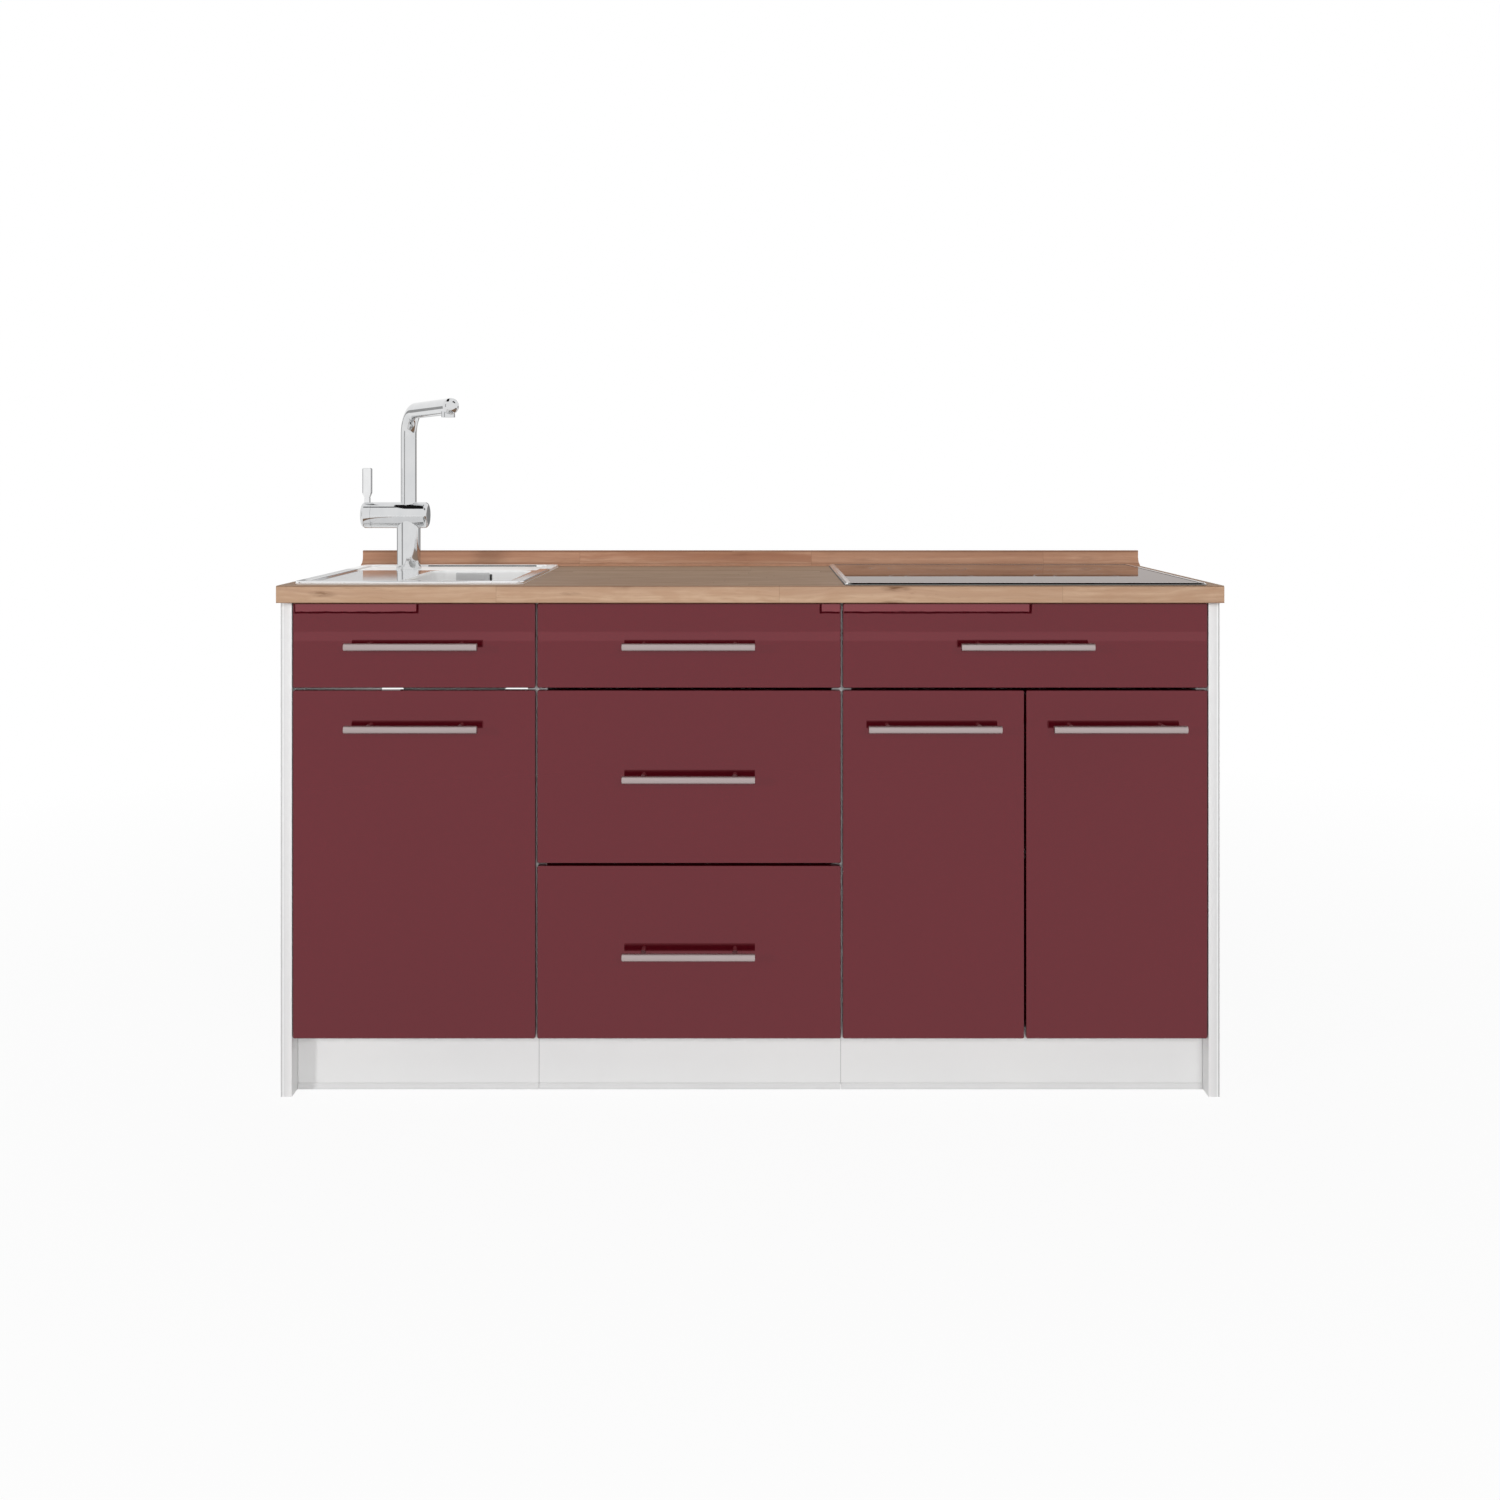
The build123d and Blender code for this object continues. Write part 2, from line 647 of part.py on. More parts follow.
def trap():
    """The bottle trap under the drain, with its waste pipe to the back and the pipe's socket."""
    top = Z_BOWL - DRAIN_H - TAIL_L
    body = rod_z(BOWL_X, BOWL_Y, top - TRAP_H, TRAP_R, TRAP_H)
    body = fillet(end_edges(body, Axis.Z, 0) + end_edges(body, Axis.Z, -1), TRAP_EDGE_R)
    pipe_z = top - WASTE_DROP
    body += rod_y(BOWL_X, BOWL_Y, pipe_z, WASTE_R, Y_BACK - BOWL_Y)
    return body + rod_y(BOWL_X, Y_BACK - WASTE_SPIGOT_L - SOCKET_L, pipe_z, SOCKET_R, SOCKET_L)


def hob_frame():
    """The bevelled steel frame, with a thin ledge under the glass round the tray."""
    width = HOB_W - 2 * HOB_FRAME_W
    depth = HOB_D - 2 * HOB_FRAME_W
    ledge = Z_TOP + HOB_LEDGE_T
    frame = slab(X_HOB_MID, HOB_Y, HOB_W, HOB_D, HOB_CORNER_R, Z_TOP, Z_TOP + HOB_FRAME_H)
    frame = chamfer(end_edges(frame, Axis.Z, -1), HOB_BEVEL)
    frame -= block(
        (X_HOB_MID - width / 2, HOB_Y - depth / 2, ledge),
        (X_HOB_MID + width / 2, HOB_Y + depth / 2, Z_TOP + HOB_FRAME_H),
    )
    width = CASE_W + 2 * HOB_CASE_GAP
    depth = CASE_D + 2 * HOB_CASE_GAP
    frame -= block(
        (X_HOB_MID - width / 2, CASE_Y - depth / 2, Z_TOP),
        (X_HOB_MID + width / 2, CASE_Y + depth / 2, ledge),
    )
    return frame


def hob_glass():
    half_w = HOB_W / 2 - HOB_FRAME_W - GLASS_GAP
    half_d = HOB_D / 2 - HOB_FRAME_W - GLASS_GAP
    low = Z_TOP + HOB_LEDGE_T
    return block(
        (X_HOB_MID - half_w, HOB_Y - half_d, low),
        (X_HOB_MID + half_w, HOB_Y + half_d, low + GLASS_T),
    )


def hob_case():
    """The steel tray under the glass, with the gland for its lead at the back."""
    half_w = CASE_W / 2
    half_d = CASE_D / 2
    low = Z_TOP - HOB_CASE_DEPTH
    high = Z_TOP + HOB_LEDGE_T
    case = block(
        (X_HOB_MID - half_w, CASE_Y - half_d, low),
        (X_HOB_MID + half_w, CASE_Y + half_d, high),
    )
    case -= block(
        (X_HOB_MID - half_w + HOB_CASE_WALL, CASE_Y - half_d + HOB_CASE_WALL, low + HOB_CASE_WALL),
        (X_HOB_MID + half_w - HOB_CASE_WALL, CASE_Y + half_d - HOB_CASE_WALL, high),
    )
    return case + rod_z(X_HOB_MID, CASE_Y + half_d / 2, low - GLAND_L, GLAND_R, GLAND_L)


def heaters():
    """Four radiant heating elements against the underside of the glass."""
    low = Z_TOP + HOB_LEDGE_T - HEATER_H
    dx, dy = HEATER_SPREAD_X, HEATER_SPREAD_Y
    return [
        rod_z(X_HOB_MID + sx * dx, CASE_Y + sy * dy, low, radius, HEATER_H)
        for sx, sy, radius in (
            (-1, -1, FRONT_HEATER_R),
            (1, -1, BACK_HEATER_R),
            (-1, 1, BACK_HEATER_R),
            (1, 1, FRONT_HEATER_R),
        )
    ]


def tap_body():
    """The tap's casting: base, upright body, cross barrel and riser."""
    axis_z = Z_TOP + BARREL_H
    body = rod_z(TAP_X, TAP_Y, Z_DECK, TAP_BODY_R, axis_z - Z_DECK)
    body += rod_z(TAP_X, TAP_Y, Z_DECK, TAP_BASE_R, TAP_BASE_H)
    barrel = rod_x(TAP_X - BARREL_LEFT, TAP_Y, axis_z, BARREL_R, BARREL_LEFT + BARREL_RIGHT)
    body += fillet(end_edges(barrel, Axis.X, -1), BARREL_END_R)
    body += rod_z(TAP_X, TAP_Y, axis_z, RISER_R, Z_TOP + RISER_TOP - axis_z)
    socket_l = JOURNAL_L + RUN_GAP
    body -= rod_z(TAP_X, TAP_Y, Z_TOP + RISER_TOP - socket_l, JOURNAL_R + FIT_GAP, socket_l)
    body -= rod_x(TAP_X - BARREL_LEFT, TAP_Y, axis_z, SPINDLE_R + FIT_GAP, SPINDLE_L + RUN_GAP)
    return body


def tap_shank():
    """The threaded shank through the deck, its nut, and the two water inlets in its end."""
    low = Z_DECK - SHANK_L
    shank = rod_z(TAP_X, TAP_Y, low, SHANK_R, SHANK_L)
    shank += rod_z(TAP_X, TAP_Y, Z_DECK - SHEET_T - TAP_NUT_H, TAP_NUT_R, TAP_NUT_H)
    for side in (-1, 1):
        shank -= rod_z(TAP_X + side * INLET_SPACING / 2, TAP_Y, low, INLET_R, INLET_L)
    return shank


def tap_spout():
    """The swivelling bend and arm, on a journal in the riser; returns it with its aerator."""
    heading = (sin(radians(SPOUT_TURN)), -cos(radians(SPOUT_TURN)), 0)
    across = (heading[1], -heading[0], 0)
    plane = Plane(origin=(TAP_X, TAP_Y, Z_TOP), x_dir=heading, z_dir=across)
    start = RISER_TOP + RUN_GAP
    bend_z = SPOUT_HEIGHT - SPOUT_BEND_R
    turn = radians(90 - SPOUT_RISE)

    def on_bend(angle):
        return (SPOUT_BEND_R * (1 - cos(angle)), bend_z + SPOUT_BEND_R * sin(angle))

    bend_end = on_bend(turn)
    arm_l = (SPOUT_REACH - bend_end[0]) / sin(turn)
    tip = (SPOUT_REACH, bend_end[1] + arm_l * cos(turn))
    path = (
        Line((0, start), (0, bend_z))
        + ThreePointArc((0, bend_z), on_bend(turn / 2), bend_end)
        + Line(bend_end, tip)
    )
    section = Pos(TAP_X, TAP_Y, Z_TOP + start) * Circle(SPOUT_R)
    spout = sweep(section, path=plane * path)
    toward_tip = Axis((TAP_X, TAP_Y, Z_TOP), heading)
    spout = fillet(end_edges(spout, toward_tip, -1), SPOUT_R - SPOUT_TIP_FLAT_R)
    spout += rod_z(TAP_X, TAP_Y, Z_TOP + start - JOURNAL_L, JOURNAL_R, JOURNAL_L)

    out = SPOUT_REACH - AERATOR_INSET
    aerator_z = Z_TOP + SPOUT_HEIGHT - SPOUT_R - AERATOR_H
    aerator = rod_z(
        TAP_X + out * heading[0],
        TAP_Y + out * heading[1],
        aerator_z,
        AERATOR_R,
        SPOUT_R + AERATOR_H,
    )
    return spout, aerator - spout


def tap_cap():
    """The turning end cap, with its spindle in the barrel and the slot for the lever."""
    axis_z = Z_TOP + BARREL_H
    right = TAP_X - BARREL_LEFT - RUN_GAP
    left = right - CAP_L
    cap = rod_x(left, TAP_Y, axis_z, BARREL_R, CAP_L)
    cap = fillet(end_edges(cap, Axis.X, 0), CAP_END_R)
    cap += rod_x(right, TAP_Y, axis_z, SPINDLE_R, SPINDLE_L)
    pivot_x = left + LEVER_FROM_END
    pivot_z = axis_z + BARREL_R - LEVER_PIVOT_DROP
    half_slot = LEVER_NECK_T / 2 + LEVER_SLOT_GAP
    cap -= block(
        (left, TAP_Y - half_slot, pivot_z - LEVER_NECK_W / 2 - LEVER_SLOT_GAP),
        (pivot_x + LEVER_NECK_W / 2 + LEVER_SLOT_GAP, TAP_Y + half_slot, axis_z + BARREL_R),
    )
    half_pin = LEVER_PIVOT_L / 2 + LEVER_SLOT_GAP
    cap -= rod_y(pivot_x, TAP_Y - half_pin, pivot_z, LEVER_PIVOT_R + FIT_GAP, 2 * half_pin)
    return cap


def tap_lever():
    """The upright paddle with its neck and cross pin."""
    axis_z = Z_TOP + BARREL_H
    x = TAP_X - BARREL_LEFT - RUN_GAP - CAP_L + LEVER_FROM_END
    z = axis_z + BARREL_R - LEVER_PIVOT_DROP
    top = axis_z + BARREL_R + LEVER_H
    neck_top = axis_z + BARREL_R + LEVER_NECK_H
    shoulder = axis_z + BARREL_R + LEVER_SHOULDER_H
    neck = LEVER_NECK_W / 2
    wide = LEVER_W / 2
    outline = Polyline(
        (x - neck, neck_top),
        (x + neck, neck_top),
        (x + wide, shoulder),
        (x + wide, top),
        (x - wide, top),
        (x - wide, shoulder),
        close=True,
    )
    rear = Plane(origin=(0, TAP_Y + LEVER_T / 2, 0), x_dir=(1, 0, 0), z_dir=(0, -1, 0))
    paddle = extrude(rear * make_face(outline), LEVER_T)
    paddle = fillet(paddle.edges().filter_by(Axis.Y).sort_by(Axis.Z)[-2:], LEVER_TIP_R)
    rims = end_edges(paddle, Axis.Y, 0) + end_edges(paddle, Axis.Y, -1)
    paddle = fillet([e for e in rims if e.center().Z > neck_top + FIT_GAP], LEVER_EDGE_R)
    stem_y = TAP_Y - LEVER_NECK_T / 2
    stem = block((x - neck, stem_y, z), (x + neck, stem_y + LEVER_NECK_T, neck_top))
    stem += rod_y(x, stem_y, z, neck, LEVER_NECK_T)
    stem += rod_y(x, TAP_Y - LEVER_PIVOT_L / 2, z, LEVER_PIVOT_R, LEVER_PIVOT_L)
    return paddle + stem


def main():
    os.makedirs("parts", exist_ok=True)

    for unit in UNITS:
        write(f"{unit}_unit_sides", *unit_sides(unit))
    write("bottom_panels", *[unit_bottom(unit) for unit in UNITS])
    write("back_panels", unit_back("drawer"), unit_back("hob"))
    write("top_rails", *[rail for unit in UNITS for rail in unit_rails(unit)])
    write("hob_unit_shelf", shelf())
    write("end_panel_left", end_panel(X_SINK, X_SINK - END_PANEL_T))
    write("end_panel_right", end_panel(X_END, X_END + END_PANEL_T))
    for place, unit in zip(("left", "middle", "right"), UNITS):
        write(f"plinth_{place}", plinth(unit))
    write("levelling_feet", *feet())
    write("worktop", worktop())
    write("wall_strip", wall_strip())

    half_gap = FRONT_SIDE_GAP / 2
    sink_left, sink_right = X_SINK + half_gap, X_DRAWER - half_gap
    write("sink_panel", front_panel(sink_left, sink_right, TOP_LOW, FRONTS_HIGH))
    write("sink_panel_handle", *handle((X_SINK + X_DRAWER) / 2, (TOP_LOW + FRONTS_HIGH) / 2))
    write("sink_panel_brackets", *panel_brackets())

    runners = drawer("top_drawer", "drawer", TOP_LOW, FRONTS_HIGH, SHALLOW_BOX_H)
    runners += drawer("middle_drawer", "drawer", MIDDLE_LOW, LOWER_HIGH, DEEP_BOX_H)
    runners += drawer("bottom_drawer", "drawer", FRONTS_LOW, FRONTS_LOW + DEEP_FRONT_H, DEEP_BOX_H)
    runners += drawer("hob_drawer", "hob", TOP_LOW, FRONTS_HIGH, SHALLOW_BOX_H)
    write("drawer_runners", *runners)

    arms = door("sink_door", sink_left, sink_right, sink_left, X_SINK + BOARD_T, 1)
    left, middle, right = X_HOB + half_gap, X_HOB_MID, X_END - half_gap
    arms += door("hob_left_door", left, middle - half_gap, left, X_HOB + BOARD_T, 1)
    arms += door("hob_right_door", middle + half_gap, right, right, X_END - BOARD_T, -1)
    write("hinge_arms", *arms)

    write("sink_basin", sink_basin())
    write("sink_drain", drain())
    write("sink_strainer", strainer())
    write("waste_trap", trap())

    write("hob_frame", hob_frame())
    write("hob_glass", hob_glass())
    write("hob_case", hob_case())
    write("hob_heaters", *heaters())

    spout, aerator = tap_spout()
    write("tap_body", tap_body())
    write("tap_shank", tap_shank())
    write("tap_spout", spout)
    write("tap_aerator", aerator)
    write("tap_cap", tap_cap())
    write("tap_lever", tap_lever())


main()
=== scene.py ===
import json
import math

import bmesh
import bpy
from mathutils import Matrix, Vector


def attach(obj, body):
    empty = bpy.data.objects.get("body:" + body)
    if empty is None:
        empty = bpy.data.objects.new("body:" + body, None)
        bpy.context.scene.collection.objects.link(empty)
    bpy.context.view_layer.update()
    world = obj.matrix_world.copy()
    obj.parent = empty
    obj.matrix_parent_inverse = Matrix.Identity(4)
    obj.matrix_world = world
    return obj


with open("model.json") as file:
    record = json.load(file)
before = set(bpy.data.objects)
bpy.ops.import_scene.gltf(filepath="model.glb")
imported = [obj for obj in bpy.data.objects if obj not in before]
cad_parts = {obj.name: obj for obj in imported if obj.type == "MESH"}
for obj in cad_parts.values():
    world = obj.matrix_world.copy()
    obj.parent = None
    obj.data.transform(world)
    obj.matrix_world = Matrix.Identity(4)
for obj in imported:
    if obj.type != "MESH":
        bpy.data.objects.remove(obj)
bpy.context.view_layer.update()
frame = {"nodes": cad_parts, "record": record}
nodes = frame["nodes"]
scene = bpy.context.scene

# The photograph's frame and the camera that took it, in pixels and metres
PHOTO_SIDE = 1500
FOCAL_PX = 1626.0
VANISH_X, VANISH_Y = 752.0, 474.0
SENSOR = 36.0
CAMERA_AT = Vector((0.003, -2.9325, 1.019))

# Studio: the world's light, and the floor with the share of its own glow near the block and far from it
AMBIENT = 0.35
WHITE = (1.0, 1.0, 1.0, 1.0)
FLOOR_SIZE = 60.0
FLOOR_DROP = 0.0004
FLOOR_COLOR = (0.9, 0.9, 0.9, 1.0)
FLOOR_NEAR, FLOOR_FAR = 1.0, 3.2
GLOW_NEAR, GLOW_FAR = 0.93, 1.0

# Area lamps: place, aim, size and watts
LAMPS = {
    "side": ((-4.2, -4.3, 1.6), (0.0, 0.0, 0.5), (0.6, 0.6), 89.0),
    "front": ((1.0, -4.9, 1.9), (0.1, 0.0, 0.5), (2.4, 1.6), 99.0),
}

# Cards that only mirror-like surfaces show: two corners, a level and sometimes a tint
CARDS = {
    "window_left": ((-2.99, -8.27, 0.118), (-2.20, -8.27, 0.19), 1.65),
    "window_right": ((0.46, -8.27, 0.118), (1.82, -8.27, 0.19), 1.65),
    "window_left_frame": ((-3.00, -8.28, 0.104), (-2.184, -8.28, 0.19), 0.0),
    "window_right_frame": ((0.447, -8.28, 0.104), (1.840, -8.28, 0.19), 0.0),
    "floor_band": ((-9.0, -8.10, 0.001), (9.0, -7.53, 0.001), 1.23),
    "wall_far_left": ((-7.0, 4.0, 0.0), (-1.9, 4.0, 1.4), 0.38),
    "wall_left": ((-1.9, 4.0, 0.0), (-0.85, 4.0, 1.4), 0.64),
    "wall_middle": ((-0.85, 4.0, 0.0), (0.35, 4.0, 3.0), 0.25),
    "wall_right": ((0.35, 4.0, 0.0), (2.0, 4.0, 1.4), 0.59, (1.0, 0.92, 0.89)),
    "wall_far_right": ((2.0, 4.0, 0.0), (7.0, 4.0, 1.4), 0.38),
    "over_tap": ((-0.806, -0.27, 1.58), (-0.60, 0.28, 1.58), 0.01),
    "over_cap": ((-0.95, -0.09, 1.58), (-0.806, 0.03, 1.58), 0.02),
    "over_hob": ((0.05, -0.6, 2.0), (1.1, 0.0, 2.0), 0.02),
    "side_left": ((-4.3, -1.9, 0.3), (-3.5, -2.7, 3.0), 0.42),
}

# Main planes and places of the block
FRONT_BACK_Y = -0.2565
PLINTH_Y = -0.2365
TOP_Z = 0.8375
DECK_Z = 0.8395
BOWL_BACK_Y = 0.0975
TAP_Y = 0.1375
BARREL_Z = 0.9415
HOB_X, HOB_Y = 0.450, -0.006
HOB_WALLS = (0.166, 0.734)

# Sockets of the Map Range node, and places of the Mix node's sockets for colours
RANGE_SOCKETS = ("From Min", "From Max", "To Min", "To Max")
MIX_INPUTS = (0, 6, 7)
MIX_OUTPUT = 2


def make_camera():
    data = bpy.data.cameras.new("camera")
    data.sensor_width = SENSOR
    data.lens = FOCAL_PX / PHOTO_SIDE * SENSOR
    data.shift_x = (PHOTO_SIDE / 2 - VANISH_X) / PHOTO_SIDE
    data.shift_y = (VANISH_Y - PHOTO_SIDE / 2) / PHOTO_SIDE
    camera = bpy.data.objects.new("camera", data)
    camera.location = CAMERA_AT
    camera.rotation_euler = (math.radians(90), 0, 0)
    scene.collection.objects.link(camera)
    scene.camera = camera


def seen_rays(tree):
    """1 for rays that show the background: camera, mirror and see-through rays."""
    path = tree.nodes.new("ShaderNodeLightPath")
    total = path.outputs["Is Camera Ray"]
    for name in ("Is Glossy Ray", "Is Transmission Ray"):
        join = tree.nodes.new("ShaderNodeMath")
        join.operation = "MAXIMUM"
        tree.links.new(total, join.inputs[0])
        tree.links.new(path.outputs[name], join.inputs[1])
        total = join.outputs[0]
    return total


def show_mix(tree, output, share, first, second):
    """Lead a mix of two shaders to a tree's output."""
    mix = tree.nodes.new("ShaderNodeMixShader")
    for socket, source in zip(mix.inputs, (share, first.outputs[0], second.outputs[0])):
        tree.links.new(source, socket)
    tree.links.new(mix.outputs[0], tree.nodes[output].inputs["Surface"])


def make_world():
    world = bpy.data.worlds.new("studio")
    world.use_nodes = True
    tree = world.node_tree
    light = tree.nodes["Background"]
    seen = tree.nodes.new("ShaderNodeBackground")
    for shader, strength in ((light, AMBIENT), (seen, 1.0)):
        shader.inputs["Color"].default_value = WHITE
        shader.inputs["Strength"].default_value = strength
    show_mix(tree, "World Output", seen_rays(tree), light, seen)
    scene.world = world


def stage_plane(name, corners):
    """A flat piece of the studio, with a bare material; gives the piece and the material's tree."""
    mesh = bpy.data.meshes.new(name)
    mesh.from_pydata(corners, [], [(0, 1, 2, 3)])
    plane = bpy.data.objects.new(name, mesh)
    scene.collection.objects.link(plane)
    mat = bpy.data.materials.new(name)
    mat.use_nodes = True
    mat.node_tree.nodes.remove(mat.node_tree.nodes["Principled BSDF"])
    mesh.materials.append(mat)
    return plane, mat.node_tree


def make_floor():
    """A pale floor that keeps the shadow near the block and fades to the white background."""
    half = FLOOR_SIZE / 2
    corners = ((-half, -half), (half, -half), (half, half), (-half, half))
    _, tree = stage_plane("floor", [(x, y, -FLOOR_DROP) for x, y in corners])
    matt = tree.nodes.new("ShaderNodeBsdfDiffuse")
    matt.inputs["Color"].default_value = FLOOR_COLOR
    glow = tree.nodes.new("ShaderNodeEmission")
    glow.inputs["Strength"].default_value = 1.0
    where = tree.nodes.new("ShaderNodeTexCoord")
    away = tree.nodes.new("ShaderNodeVectorMath")
    away.operation = "LENGTH"
    tree.links.new(where.outputs["Object"], away.inputs[0])
    fade = tree.nodes.new("ShaderNodeMapRange")
    for socket, value in zip(RANGE_SOCKETS, (FLOOR_NEAR, FLOOR_FAR, GLOW_NEAR, GLOW_FAR)):
        fade.inputs[socket].default_value = value
    tree.links.new(away.outputs["Value"], fade.inputs["Value"])
    share = tree.nodes.new("ShaderNodeMath")
    share.operation = "MULTIPLY"
    tree.links.new(seen_rays(tree), share.inputs[0])
    tree.links.new(fade.outputs[0], share.inputs[1])
    show_mix(tree, "Material Output", share.outputs[0], matt, glow)


def area_light(name, at, aim, size, watts):
    data = bpy.data.lights.new(name, "AREA")
    data.shape = "RECTANGLE"
    data.size, data.size_y = size
    data.energy = watts
    lamp = bpy.data.objects.new(name, data)
    lamp.location = at
    lamp.rotation_euler = (Vector(aim) - Vector(at)).to_track_quat("-Z", "Y").to_euler()
    lamp.visible_camera = False
    lamp.visible_glossy = False
    scene.collection.objects.link(lamp)


def mirror_card(name, low, high, level, tint=(1.0, 1.0, 1.0)):
    """A card of one level between two corners, which only mirror-like surfaces show."""
    (x0, y0, z0), (x1, y1, z1) = low, high
    if z0 == z1:
        corners = [(x0, y0, z0), (x1, y0, z0), (x1, y1, z0), (x0, y1, z0)]
    else:
        corners = [(x0, y0, z0), (x1, y1, z0), (x1, y1, z1), (x0, y0, z1)]
    card, tree = stage_plane(name, corners)
    for ray in ("camera", "diffuse", "transmission", "volume_scatter", "shadow"):
        setattr(card, f"visible_{ray}", False)
    glow = tree.nodes.new("ShaderNodeEmission")
    glow.inputs["Color"].default_value = (*tint, 1)
    glow.inputs["Strength"].default_value = level
    tree.links.new(glow.outputs[0], tree.nodes["Material Output"].inputs["Surface"])


def make_studio():
    make_world()
    make_floor()
    for name, lamp in LAMPS.items():
        area_light(name, *lamp)
    for name, card in CARDS.items():
        mirror_card(name, *card)


# How squarely a surface looks along an axis to count as facing it, and the range that most noise lies in
FACING_LIMIT = 0.6
NOISE_RANGE = (0.3, 0.7)


class Paint:
    """A Principled material, with short calls that add nodes to it."""

    def __init__(self, name, color, roughness, **sockets):
        self.mat = bpy.data.materials.new(name)
        self.mat.use_nodes = True
        self.tree = self.mat.node_tree
        self.shader = self.tree.nodes["Principled BSDF"]
        self.set("Base Color", color)
        self.set("Roughness", roughness)
        for key, value in sockets.items():
            self.set(key.replace("_", " ").title().replace("Ior", "IOR"), value)
        self.where = self.node("TexCoord")

    def feed(self, socket, value):
        if isinstance(value, bpy.types.NodeSocket):
            self.tree.links.new(value, socket)
        elif socket.type == "RGBA" and len(value) == 3:
            socket.default_value = (*value, 1)
        else:
            socket.default_value = value

    def set(self, name, value):
        self.feed(self.shader.inputs[name], value)

    def node(self, kind, sockets=(), **props):
        made = self.tree.nodes.new("ShaderNode" + kind)
        for key, value in props.items():
            setattr(made, key, value)
        for key, value in dict(sockets).items():
            self.feed(made.inputs[key], value)
        return made

    def math(self, operation, *values):
        made = self.node("Math", operation=operation)
        for socket, value in zip(made.inputs, values):
            self.feed(socket, value)
        return made.outputs[0]

    def spot(self):
        return self.where.outputs["Object"]

    def split(self, vector):
        return self.node("SeparateXYZ", {0: vector}).outputs

    def join(self, *values):
        return self.node("CombineXYZ", dict(enumerate(values))).outputs[0]

    def facing(self, way):
        """1 where the piece's own surface looks along an axis, such as -Y."""
        sign, axis = way
        along = self.split(self.where.outputs["Normal"])[axis]
        along = self.math("MULTIPLY", along, float(sign + "1"))
        return self.math("GREATER_THAN", along, FACING_LIMIT)

    def stretched(self, vector, scale):
        return self.node("Mapping", {"Vector": vector, "Scale": scale}).outputs[0]

    def noise(self, stretch, detail=3.0, rough=0.5, at=None):
        """Noise with one scale, or with one for each axis."""
        if isinstance(stretch, (int, float)):
            stretch = (stretch,) * 3
        vector = self.stretched(at or self.spot(), stretch)
        sockets = {"Vector": vector, "Scale": 1.0, "Detail": detail, "Roughness": rough}
        return self.node("TexNoise", sockets).outputs["Fac"]

    def white(self, vector):
        return self.node("TexWhiteNoise", {"Vector": vector}).outputs["Value"]

    def span(self, value, from_low, from_high, low, high):
        """Carry one range over to another."""
        made = self.node("MapRange", {"Value": value})
        for socket, limit in zip(RANGE_SOCKETS, (from_low, from_high, low, high)):
            self.feed(made.inputs[socket], limit)
        return made.outputs[0]

    def spread(self, noise, low=0.0, high=1.0):
        """Carry the range that most noise lies in over to another."""
        return self.span(noise, *NOISE_RANGE, low, high)

    def choose(self, mask, off, on):
        """One value where a mask is 0, another where it is 1."""
        return self.span(mask, 0.0, 1.0, off, on)

    def mix(self, factor, a, b):
        made = self.node("Mix", data_type="RGBA")
        for place, value in zip(MIX_INPUTS, (factor, a, b)):
            self.feed(made.inputs[place], value)
        return made.outputs[MIX_OUTPUT]

    def gap(self, value, centre):
        """Distance of a value from a centre."""
        return self.math("ABSOLUTE", self.math("SUBTRACT", value, centre))

    def near(self, value, centre, half):
        """1 where a value lies within a half width of a centre."""
        return self.math("LESS_THAN", self.gap(value, centre), half)

    def away(self, u, v):
        """Length of a flat vector."""
        return self.math("SQRT", self.math("ADD", self.math("MULTIPLY", u, u), self.math("MULTIPLY", v, v)))

    def bump(self, height, distance, strength=1.0):
        made = self.node("Bump", {"Height": height, "Distance": distance, "Strength": strength})
        self.set("Normal", made.outputs[0])


def grey(level):
    return (level, level, level)


def chipboard(p):
    """The colour of a board's raw cut edge."""
    flakes = p.noise(260, 4.0, 0.7)
    return p.mix(p.span(flakes, 0.35, 0.65, 0.0, 1.0), (0.30, 0.19, 0.10), (0.62, 0.45, 0.27))


def front_gloss():
    """Burgundy foil, mirror-smooth with a faint ripple and tinted shine; the rear is plain white."""
    p = Paint("front_gloss", (0.055, 0.0022, 0.0052), 0.02, ior=2.0, specular_tint=(1.0, 0.345, 0.39))
    red = p.mix(p.spread(p.noise(2.2, 2.0)), (0.052, 0.0020, 0.0049), (0.059, 0.0026, 0.0058))
    rear = p.facing("+Y")
    p.set("Base Color", p.mix(rear, red, (0.705, 0.76, 0.755)))
    smear = p.spread(p.noise((14, 14, 5), 4.0), 0.004, 0.012)
    p.set("Roughness", p.math("ADD", smear, p.math("MULTIPLY", rear, 0.4)))
    p.bump(p.noise(40, 1.0), 0.000004)
    return p.mat


def board_white(p):
    """The colour of white melamine."""
    return p.mix(p.spread(p.noise(3)), grey(0.775), (0.805, 0.805, 0.80))


def finish_board(p, white):
    """Give a board its colour, its raw core where the back was cut and left, and a fine pearl grain."""
    p.set("Base Color", p.mix(p.facing("+Y"), white, chipboard(p)))
    grain = p.noise(900, 2.0)
    p.set("Roughness", p.spread(grain, 0.36, 0.48))
    p.bump(grain, 0.00006)
    return p.mat


def carcass_white():
    """Plain white board."""
    p = Paint("carcass_white", grey(0.78), 0.42)
    return finish_board(p, board_white(p))


# Rows of shelf-pin holes on the units' sides, painted as dark discs of shade
HOLE_PITCH = 0.032
HOLE_R = 0.0025
HOLE_ROWS = (-0.2175, 0.2575)


